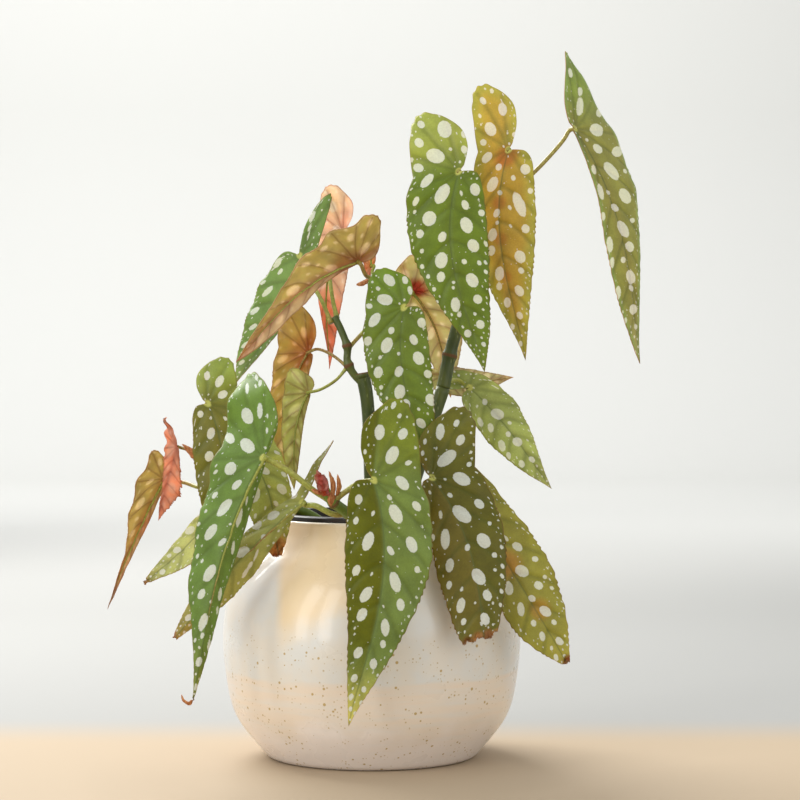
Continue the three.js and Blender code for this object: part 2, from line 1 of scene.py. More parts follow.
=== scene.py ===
"""A polka dot begonia in a nursery pot inside a round glazed stoneware pot, dressed on its CAD frame.

The plant is seen from the front along +Y. Tables are in millimetres, and meshes are in metres.
"""

import math
import random
from functools import partial

import bmesh
import bpy
import numpy as np
from mathutils import Matrix, Vector, kdtree, noise


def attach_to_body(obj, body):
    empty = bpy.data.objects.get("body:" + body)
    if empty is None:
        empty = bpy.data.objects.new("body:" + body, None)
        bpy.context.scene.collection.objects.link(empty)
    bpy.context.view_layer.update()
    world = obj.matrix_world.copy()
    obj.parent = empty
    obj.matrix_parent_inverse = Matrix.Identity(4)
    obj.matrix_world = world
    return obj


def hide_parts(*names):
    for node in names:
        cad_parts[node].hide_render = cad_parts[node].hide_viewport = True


bl_info = {
    "name": "Potted Polka Dot Begonia",
    "version": (1, 0, 0),
    "blender": (4, 5, 0),
    "location": "View3D > Sidebar > Begonia",
    "description": "Builds a spotted angel-wing begonia in its stoneware pot",
    "category": "Add Mesh",
}

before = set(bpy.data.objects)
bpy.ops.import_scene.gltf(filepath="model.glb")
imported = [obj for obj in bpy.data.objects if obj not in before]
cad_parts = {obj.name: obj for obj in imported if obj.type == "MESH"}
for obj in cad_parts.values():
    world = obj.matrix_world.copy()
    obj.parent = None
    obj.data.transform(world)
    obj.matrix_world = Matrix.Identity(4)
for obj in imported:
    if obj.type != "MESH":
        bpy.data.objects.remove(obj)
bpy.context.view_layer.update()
MM = 0.001

# ---- The camera ----
CAMERA_PLACE = (17.4, -1557, 247)
CAMERA_DIP = 1.042  # degrees below level
CAMERA_LENS = 113.85
SENSOR = 36  # its width, in mm like the lens
PICTURE = 800  # the side of the square picture


def seen_at(points):
    """Where points in millimetres lie in the picture, in its pixels from the top left corner."""
    away = points - np.array(CAMERA_PLACE)
    dip = math.radians(CAMERA_DIP)
    depth = away[:, 1] * math.cos(dip) - away[:, 2] * math.sin(dip)
    rise = away[:, 1] * math.sin(dip) + away[:, 2] * math.cos(dip)
    zoom = PICTURE * CAMERA_LENS / SENSOR / depth
    return np.stack([PICTURE / 2 + away[:, 0] * zoom, PICTURE / 2 - rise * zoom], 1)


# ---- The pots, as they are in the CAD ----
# Profiles are rows of (radius, height).
POT_TOP = 146.5
POT_FLOOR = 9
POT_FOOT = ((0, 0.5), (40, 0.5), (58, 0.5), (59.5, 0), (62, 0), (64.4, 1.1))
POT_OUTSIDE = (
    (66, 2.6), (76, 14.5), (82.3, 23.5), (86.5, 33.5), (89.6, 50), (91.5, 69), (90.9, 84),
    (88.2, 98), (83, 110), (75.6, 121.5), (68.4, 130.5), (63.4, 138), (60.5, 144.8),
)
POT_RIM = ((60.35, 145.7), (59.5, POT_TOP - 0.1), (58, POT_TOP), (56.5, POT_TOP - 0.1), (55.7, 145.7))
POT_INSIDE = (
    (55.5, 144.8), (57.6, 137), (66.5, 125), (78, 108), (85, 84), (85.6, 68), (83.4, 48), (78, 29),
    (66, 14), (50, POT_FLOOR),
)
LIP_BOTTOM = 146.8
LIP_TOP = 149.6
NURSERY_FLOOR = 30
NURSERY_POT = (
    (0, NURSERY_FLOOR), (43, NURSERY_FLOOR), (53.8, 138), (54.1, LIP_BOTTOM),
    (58.3, LIP_BOTTOM), (58.3, 148.9), (57.5, LIP_TOP), (53.5, LIP_TOP), (52.5, 147.8), (52.5, 138),
    (41.7, 31.3), (0, 31.3),
)
DRAIN_COUNT = 6
DRAIN_RADIUS = 4
DRAIN_RING = 28  # from the middle of the floor to each drain
SOIL_BELOW = ((0, 31.6), (41.4, 31.6), (52.2, 138))
SOIL_RADIUS = 52.2  # at its top
SOIL_FLAT = 139.5  # its height by the wall of the nursery pot
SOIL_RISE = 3.5  # from there to the middle
SOIL_RINGS = 60
CHIP_REACH = 49  # how far from the middle the bark chips lie
CHIP_SIZES = ((2.5, 8), (2, 4.5), (0.8, 2))  # least and most of a chip's length, width and thickness

# ---- The canes, as they are in the CAD ----
# A bar is a radius and the points that it runs through, and so is a stipule. A ring is the middle of a
# leaf joint, and a stub is the foot and the top of a pruned end. The low shoots are young and green.
CANES = {
    "cane_left": {
        "bars": [
            (4.2, (2, 2, 110), (0, 2, 148), (-1, 1, 190), (-3, 0, 220), (-5.5, 0, 234)),
            (2.3, (-6, 0, 229), (-12, 0, 236), (-15, 0, 243), (-15, 0, 251), (-19, 1, 262), (-23, 2, 270)),
        ],
        "rings": [(-1.35, 1, 197.2), (-14.2, 0, 239.9), (-15.2, 0, 252.1)],
        "stub": ((-5.2, 0, 232), (-5.8, 0, 235.4)),
    },
    "cane_middle": {
        "bars": [
            (3.6, (10, 15, 112), (8, 15, 148), (10, 17, 200), (13, 18, 240)),
            (2.8, (13, 18, 238), (12, 18, 262), (8, 18, 280), (0, 19, 294)),
        ],
        "rings": [(12.9, 18, 239), (8.9, 18, 277)],
        "stipule": (1.3, (0, 18, 294), (-6, 20, 291), (-10, 20, 290)),
    },
    "cane_right": {
        "bars": [
            (4.2, (18, -6, 112), (21, -5, 148), (30, -3, 182), (44, 0, 226)),
            (4.0, (44, 0, 226), (48, 2, 246), (54, 3, 268), (62, 4, 296)),
            (2.8, (61.6, 4, 294), (68, 4, 316), (73, 5, 334)),
        ],
        "rings": [(30, -3, 182.1), (48, 2, 246), (61.5, 4, 294.8)],
    },
    "shoot_front": {
        "bars": [
            (3.1, (2, -28, 120), (-2, -32, 146), (-7, -50, 153.6), (-13, -74, 153.8), (-21, -83, 160)),
            (2.6, (-20.4, -82.6, 159.4), (-24, -86, 163.4), (-26, -88, 168)),
        ],
        "rings": [(-13, -73.8, 154), (-21.5, -83.6, 160.5)],
        "stipule": (2, (-21.5, -85, 159), (-22.5, -87, 163), (-22, -88, 168)),
        "young": True,
    },
    "shoot_left": {
        "bars": [
            (3.2, (-16, 2, 116), (-24, 2, 136), (-40, -2, 149), (-58, -8, 154.6), (-80, -12, 164)),
            (2.5, (-79, -12, 163.6), (-92, -10, 171), (-101, -7, 180)),
        ],
        "rings": [(-79.8, -12, 163.9), (-92, -9.9, 171.1)],
        "stipule": (1.9, (-101, -8, 179), (-108, -9, 185), (-116, -9, 192)),
        "young": True,
    },
}
# Smaller dry scales round the withered leaf, and the dried curl at the tip of the front left leaf.
SCALES = (
    (1.1, (-19.5, -85, 164), (-18, -86, 170), (-19, -87, 177)),
    (1.2, (-22, -87, 163), (-21.5, -87, 171), (-24, -88, 179)),
    (1.1, (-19, -80, 158), (-14, -73, 155), (-8, -58, 152)),
    (1.0, (-27, -89, 166), (-31, -90, 167), (-34, -90, 168.5)),
    (0.8, (-102.5, -104, 48), (-103.5, -104, 45.8), (-107, -104, 47.5), (-108.5, -104, 51)),
)

# ---- The leaves, as they are in the CAD ----
# A leaf is drawn flat first: a runs along the midrib from the petiole (0) to the tip (1), and b
# across it, in leaf lengths. The big half has a round ear behind the petiole. A width is a share of
# the outline's own, at WIDTH_PLACES along the leaf. Angles are in degrees, and the cut is where a
# broken tip ends. A stalk runs from the cane, through its points, to where the blade is attached.
OUTLINES = {
    "big_ear": (
        (-0.03, -0.03), (-0.12, -0.064), (-0.21, -0.055), (-0.285, 0.01), (-0.325, 0.075),
        (-0.315, 0.135), (-0.25, 0.175), (-0.15, 0.2), (-0.03, 0.222), (0.09, 0.225), (0.21, 0.208),
    ),
    "big_side": (
        (0.21, 0.208), (0.35, 0.188), (0.50, 0.153), (0.65, 0.11), (0.80, 0.062), (0.92, 0.023), (1, 0),
    ),
    "small_ear": ((0, -0.03), (0.015, -0.09), (0.08, -0.135), (0.18, -0.16)),
    "small_side": (
        (0.18, -0.16), (0.32, -0.17), (0.47, -0.157), (0.62, -0.122), (0.77, -0.08), (0.90, -0.033), (1, 0),
    ),
}
WIDTH_PLACES = (-0.3, 0, 0.3, 0.6, 0.9)
VEIN_BOW = 0.16  # how far the side veins bow towards the petiole
STALK_BEND = 4  # mm behind the blade that the petiole bends to meet it
PLAIN_LEAF = dict(
    big=-1, bigWidth=(1, 1, 1, 1, 1), smallWidth=(1, 1, 1, 1, 1), ear=1, lean=0, sabre=0.08,
    foldBig=0, foldSmall=0, curlBig=12, curlSmall=12, arch=0.03, earCurl=0.25, wave=0.008, waves=4,
    phase=0, twist=0, cut=1, radius=1.5, finish="leaf_green",
)
LEAVES = {
    # The three leaves at the top of the right cane.
    "leaf_crown_left": dict(attach=(53, -30, 357), tip=(68, -42, 236), face=(-0.1, -1, 0.15),
        stalk=((66, 4, 310), (63, -2, 330), (57, -16, 350)), sabre=0.09, lean=0.1,
        bigWidth=(1.1, 1.05, 1.05, 1.05, 1), smallWidth=(1, 1, 1.1, 1.15, 1.3)),
    "leaf_crown_middle": dict(attach=(84, -6, 372), tip=(94, -12, 243), face=(0.05, -1, 0.1),
        stalk=((69, 3, 320), (75, -1, 340), (81, 0, 362)), finish="leaf_olive",
        bigWidth=(0.9, 0.65, 0.6, 0.8, 0.8), smallWidth=(1, 1, 1.05, 1, 0.8)),
    "leaf_crown_right": dict(attach=(126, 18, 387), tip=(167, 22, 241), face=(0.75, -0.65, 0.1), big=1,
        stalk=((73, 5, 333), (86, 9, 346), (104, 14, 363), (119, 19, 380)), lean=0.55,
        bigWidth=(0.35, 1.3, 1.15, 0.75, 0.5), smallWidth=(0.2, 0.2, 0.45, 0.9, 1.2)),
    # Leaves of the middle cane.
    "leaf_centre": dict(attach=(20, -38, 275), tip=(39, -44, 171), face=(-0.05, -1, 0.1),
        stalk=((9, 18, 276), (12, 0, 280), (17, -24, 280)), ear=0.75),
    "leaf_centre_back": dict(attach=(25, 42, 286), tip=(50, 58, 219), face=(0.1, 1, 0.2),
        stalk=((-15, 0, 250), (-4, 10, 262), (8, 32, 276), (20, 38, 283)),
        finish="leaf_tan", bigWidth=(1.4, 1.4, 1.4, 1.4, 1.4)),
    "leaf_right_back": dict(attach=(45, 38, 234), tip=(90, 62, 232), face=(0, 1, -0.2), big=1,
        stalk=((48, 2, 246), (47, 14, 246), (45, 28, 240)), finish="leaf_tan"),
    "leaf_right_middle": dict(attach=(61, 28, 226), tip=(112, 20, 163), face=(0.1, -1, 0.3), big=1,
        stalk=((44, 0, 226), (48, 12, 230), (55, 26, 230)),
        ear=0.6, lean=-0.5, sabre=0.02,
        bigWidth=(1, 0.7, 1, 1, 0.8), smallWidth=(1, 1, 1.05, 1.2, 1.3)),
    # Leaves round the front.
    "leaf_front": dict(attach=(2, -94, 174), tip=(-12, -114, 34), face=(0.05, -1, 0.12), big=1,
        stalk=((-22, -84, 161), (-14, -84, 167), (-6, -86, 172)), radius=2,
        lean=-0.05,
        bigWidth=(0.9, 0.9, 1, 1, 1.1), smallWidth=(0.9, 0.9, 0.95, 0.85, 0.8), ear=1.08),
    "leaf_front_right": dict(attach=(36, -66, 174), tip=(69, -98, 57), face=(0.1, -1, 0.1), big=1,
        stalk=((23, -5, 152), (26, -26, 154), (31, -48, 162)), cut=0.8,
        lean=0.33, bigWidth=(1.2, 0.95, 0.95, 1, 1), smallWidth=(0.6, 0.6, 0.95, 1.25, 1.6)),
    "leaf_low_right": dict(attach=(49, -57, 172), tip=(118, -66, 61), face=(0.3, -1, 0.1), big=1,
        stalk=((32, -3, 184), (40, -16, 188), (45, -36, 178)), sabre=0,
        ear=0.5, lean=-0.2, bigWidth=(0.6, 0.55, 0.85, 1.35, 1.9), smallWidth=(0.8, 0.8, 0.75, 1.05, 1.9),
        finish="leaf_olive"),
    "leaf_front_left": dict(attach=(-62, -92, 187), tip=(-102, -104, 47), face=(-0.5, -0.85, 0.1),
        stalk=((-22, -84, 161), (-32, -86, 167), (-46, -88, 178)), radius=2,
        foldSmall=80, lean=0.4, sabre=0.04,
        bigWidth=(1, 1, 0.85, 0.9, 0.5), smallWidth=(0.3, 0.3, 0.5, 0.5, 0.6)),
    # Leaves round the left.
    "leaf_left_folded": dict(attach=(-40, -74, 160), tip=(-118, -72, 76), face=(-0.4, -0.8, 0.5),
        stalk=((-13, -74, 153.8), (-21, -77, 153), (-32, -76, 158)), radius=2,
        foldSmall=60, sabre=0.02, lean=0.3,
        bigWidth=(0.15, 0.5, 0.5, 0.7, 1.2), smallWidth=(0.15, 0.15, 0.5, 0.9, 0.9)),
    "leaf_left_inner": dict(attach=(-73, -50, 187), tip=(-61, -60, 124), face=(0.1, -1, 0.1), big=1,
        stalk=((-79, -12, 163.5), (-76, -22, 178), (-73, -38, 186)), cut=0.9,
        finish="leaf_olive", bigWidth=(1.3, 1.2, 1.05, 1.3, 1.7), smallWidth=(1.1, 1.1, 1.3, 1.5, 2)),
    "leaf_left_upper": dict(attach=(-99, -30, 217), tip=(-91, -40, 123), face=(-0.1, -1, 0.1), big=1,
        stalk=((-92, -10, 171), (-97, -10, 192), (-99, -16, 212)), finish="leaf_olive",
        ear=0.9, bigWidth=(1.1, 0.85, 0.75, 1, 1.6), smallWidth=(0.9, 0.9, 1.1, 1.2, 1.2)),
    "leaf_left_low": dict(attach=(-92, 4, 157), tip=(-145, 24, 101), face=(-0.3, -0.8, 0.5), big=1,
        stalk=((-88, -11, 168.5), (-86, 0, 168), (-89, 7, 163)), finish="leaf_olive",
        smallWidth=(0.75, 0.75, 0.75, 0.75, 0.75)),
    "leaf_left_outer": dict(attach=(-131, 30, 169), tip=(-168, 45, 85), face=(-0.6, 0.7, 0.5), big=1,
        stalk=((-98, -8, 177), (-104, 4, 165), (-118, 20, 167)), finish="leaf_tan",
        foldSmall=80, sabre=0, ear=0.6, lean=0.4,
        bigWidth=(0.7, 1, 0.75, 0.2, 0.2), smallWidth=(0.3, 0.3, 0.3, 0.3, 0.3)),
    "leaf_young_pink": dict(attach=(-119, -6, 190), tip=(-131, -8, 145), face=(-0.3, -1, 0.1),
        stalk=((-101, -7, 180), (-110, -5, 187)), finish="leaf_pink", radius=1.1,
        sabre=0, lean=0.9, wave=0.02, waves=6,
        bigWidth=(0.3, 0.8, 0.55, 0.3, 0.5), smallWidth=(0.3, 0.3, 0.8, 1.6, 1.5)),
    # Leaves round the side shoot of the left cane, most of which show their undersides.
    "leaf_shoot_back": dict(attach=(-46, 36, 309), tip=(-87, 38, 227), face=(-0.3, -1, 0.2), big=1,
        stalk=((-25, 1, 266), (-31, 8, 280), (-42, 24, 298)), ear=1.45, lean=-0.28,
        bigWidth=(0.5, 0.5, 0.4, 0.4, 0.5), smallWidth=(1.15, 1.15, 1.4, 1.5, 1.5)),
    "leaf_shoot_tan": dict(attach=(-9, 8, 304), tip=(-83, -12, 242), face=(-0.3, 0.8, 0.6), big=1,
        stalk=((0, 19, 294), (-4, 8, 296)), finish="leaf_tan",
        foldSmall=80, ear=0.75, lean=0.3,
        bigWidth=(1.1, 1.45, 1.15, 0.65, 0.8), smallWidth=(0.2, 0.2, 0.4, 0.8, 1.2)),
    "leaf_shoot_pale": dict(attach=(-19, 55, 325), tip=(-28, 66, 237), face=(0.1, 1, 0.2), big=1,
        stalk=((-21.5, 3.5, 269), (-25, 11, 285), (-26, 20, 300), (-21, 33, 318)),
        finish="leaf_tan",
        bigWidth=(1, 0.9, 0.5, 0.35, 0.25), smallWidth=(0.7, 0.7, 0.8, 0.75, 0.7)),
    "leaf_shoot_small": dict(attach=(-1, 30, 302), tip=(4, 34, 327), face=(-0.6, 1, 0.2),
        stalk=((1, 19, 293), (0, 24, 298)), finish="leaf_pink", radius=1.1),
    "leaf_middle_rust": dict(attach=(-40, 26, 248), tip=(-54, 34, 170), face=(0.1, 1, 0.1), big=1,
        stalk=((-15, 0, 239), (-24, 6, 246), (-34, 16, 250)), finish="leaf_tan",
        bigWidth=(1.2, 1.05, 0.85, 1.2, 1.8), smallWidth=(0.5, 0.5, 0.6, 0.7, 0.7), ear=1.2, lean=0.25),
    "leaf_middle_tan": dict(attach=(-39, 6, 223), tip=(-48, 2, 163), face=(0.1, 1, 0.1), big=1,
        stalk=((-15, 0, 239), (-22, 0, 231), (-32, -1, 225)), finish="leaf_tan",
        bigWidth=(1.1, 1.1, 0.8, 0.9, 1.5), smallWidth=(0.3, 0.3, 0.4, 0.5, 0.5), ear=0.7, lean=0.2),
    "leaf_young_withered": dict(attach=(-27, -90, 171), tip=(-33, -90, 182), face=(-0.3, -1, 0.2),
        stalk=((-26, -88, 167), (-26.4, -88.6, 169)), finish="leaf_withered",
        radius=1.2),
}

# How each leaf looks.
# upper: colours of the upper face in its body, its ear and its tip, and small: that of its small half.
# under: colours of the underside in its body and by the midrib.
# rim: a colour along the margin, and how far in it reaches, in mm.
# stains, and the underside's stains and painted highlights: (a, b, reach in mm, colour, strength); strength 1
# is dead, dry tissue.
# bare: both faces are like the underside. flush: how red the petiole is, from 0 to 1.
# crumple: how deep the blade is crumpled, in mm. tooth: how far the teeth of the margin stand out.
# own: values that take the place of the CAD's.
PLAIN_LOOK = dict(bare=False, crumple=0.35, tooth=0.013, flush=0.0, stains=(), under_stains_and_highlights=(), own={})
LOOKS = {
    "leaf_crown_left": dict(upper=("6e8530", "a6b35a", "7d943c"), under=("c9b97a", "a5704a")),
    "leaf_crown_middle": dict(upper=("bca446", "c8b450", "bca848"), under=("d0ad70", "b8683c"),
        rim=("a8b454", 10),
        stains=((0.03, 0, 10, "bc6a30", 0.7), (0.25, 0, 6, "b4682e", 0.5), (0.42, 0, 6, "b06e30", 0.5),
            (0.6, 0, 5, "ae7434", 0.5))),
    "leaf_crown_right": dict(upper=("939650", "8ba050", "b4b878"), under=("cdbf8a", "b87a50"),
        rim=("8eac68", 4), flush=0.45, crumple=0.1, own=dict(wave=0.002)),
    "leaf_centre": dict(upper=("738936", "7a9834", "8da348"), under=("c9b97a", "a5704a")),
    "leaf_centre_back": dict(upper=("98a668", "9caa6c", "a8b078"), under=("f6deb8", "e8b48c"),
        under_stains_and_highlights=((-0.02, 0.05, 9, "d2584a", 1),)),
    "leaf_right_back": dict(upper=("7d9340", "8ea644", "a5b565"), under=("eeddb6", "d8ac84")),
    "leaf_right_middle": dict(upper=("adbd70", "97a960", "b4c274"), under=("c9b97a", "a5704a")),
    # The olive of its small half is painted yellowish light on the left of the front leaf.
    "leaf_front": dict(upper=("7b9048", "82902f", "dedb74"), under=("c9b97a", "a5704a"), small="686e10"),
    "leaf_front_right": dict(upper=("6c6a24", "76762c", "84802f"), under=("c4aa6e", "b87050"), small="78702c",
        stains=((0.8, 0.06, 5, "bc8c50", 1), (0.79, 0.02, 5, "946638", 1), (0.79, -0.03, 5, "b08048", 1),
            (0.8, -0.08, 5, "845a30", 1))),
    "leaf_low_right": dict(upper=("9d9b43", "90a03c", "b8b450"), under=("c9b97a", "a5704a"),
        stains=((0.45, 0.0, 12, "bd8a3a", 0.7), (0.7, 0.02, 9, "bd8a3a", 0.6),
            (0.97, 0.01, 6, "8a5428", 1), (0.99, -0.01, 4, "3f1f10", 1)),
        own=dict(cut=0.97)),
    "leaf_front_left": dict(upper=("759345", "74933c", "8f9c48"), under=("a8a868", "b87a50"),
        stains=((1, 0, 3, "8a5030", 1),)),
    "leaf_left_folded": dict(upper=("b2ba68", "9f9e56", "b4a458"), under=("b88a50", "a5602f"),
        stains=((0.96, 0.02, 5, "a5704a", 1), (0.96, -0.03, 3, "8a4a24", 1)),
        own=dict(cut=0.96, lean=0.6, bigWidth=(0.1, 0.3, 0.5, 0.7, 1.2))),
    "leaf_left_inner": dict(upper=("b6c46a", "94a448", "8a8236"), under=("c4aa6e", "b87050"),
        stains=((0.88, 0.0, 10, "d6a060", 1), (0.94, -0.02, 4, "9c5626", 1)),
        own=dict(tip=(-54, -58, 123), cut=0.94)),
    "leaf_left_upper": dict(upper=("7d7f36", "98ac54", "7f7c38"), under=("c4aa6e", "b87050"), flush=0.5),
    "leaf_left_low": dict(upper=("c8d288", "c8d288", "b4b068"), under=("c9b97a", "a5704a"),
        stains=((0.96, 0, 7, "a8783c", 1), (0.97, -0.02, 4, "7a4a1e", 1)), own=dict(cut=0.95)),
    "leaf_left_outer": dict(upper=("92a05a", "92a05a", "a09060"), under=("e0be88", "d48a68"),
        under_stains_and_highlights=((0.35, -0.1, 14, "d88c68", 0.8), (1, 0, 22, "a8927c", 0.8))),
    "leaf_young_pink": dict(upper=("dca488", "e0b090", "dc8468"), under=("e2ae90", "d08a70"),
        bare=True, crumple=0.8, tooth=0.06, flush=0.6),
    "leaf_shoot_back": dict(upper=("7b9a54", "7b9a54", "95b068"), under=("cdbf8a", "b87a50")),
    "leaf_shoot_tan": dict(upper=("8ea044", "8ea044", "a5b565"), under=("eccaa0", "c47860"),
        under_stains_and_highlights=((0.05, 0, 16, "b8694c", 0.6),)),
    "leaf_shoot_pale": dict(upper=("d6bc98", "d6bc98", "d8b094"), under=("ffe6e0", "fcc0b4"),
        under_stains_and_highlights=((-0.25, 0.1, 18, "fff0dc", 0.8), (0.1, -0.1, 16, "f89c8c", 0.8),
            (0.75, 0, 36, "f8967e", 0.85))),
    "leaf_shoot_small": dict(upper=("e8b48c", "e8b48c", "e8a888"), under=("f0b494", "e07868"),
        under_stains_and_highlights=((0.1, 0, 8, "ecc498", 0.9),), bare=True),
    "leaf_middle_rust": dict(upper=("7d9340", "8ea644", "a5b565"), under=("ecc07c", "d0684c"),
        under_stains_and_highlights=((0, 0, 18, "cc5c40", 0.5), (0.9, 0, 20, "cdb684", 0.6)),
        flush=0.8, own=dict(radius=1.1)),
    "leaf_middle_tan": dict(upper=("7d9340", "8ea644", "a5b565"), under=("e4de90", "d0c078"),
        own=dict(radius=1.1)),
    "leaf_young_withered": dict(upper=("b8604c", "c8806a", "dcae90"), under=("a8483c", "7a2c24"),
        # On the withered leaf's underside, the pink patches at (0.2, 0.3) and (0.9, -0.2) are painted
        # highlights on its crumples.
        under_stains_and_highlights=((0.4, 0, 24, "bc6458", 1), (0.2, 0.3, 5, "e0aca2", 0.8),
            (0.9, -0.2, 4, "d0948a", 0.8), (0.6, -0.4, 3.5, "e8c8a4", 0.9), (-0.1, -0.1, 4, "b9562c", 0.9)),
        bare=True, crumple=3.2, tooth=0.1,
        own=dict(attach=(-27, -93, 168), tip=(-31, -95, 180), face=(0.1, -1, 0), radius=0.5,
            curlBig=50, curlSmall=50, bigWidth=(1.6, 1.6, 1.6, 2, 2), smallWidth=(2, 2, 2, 2.4, 2))),
}
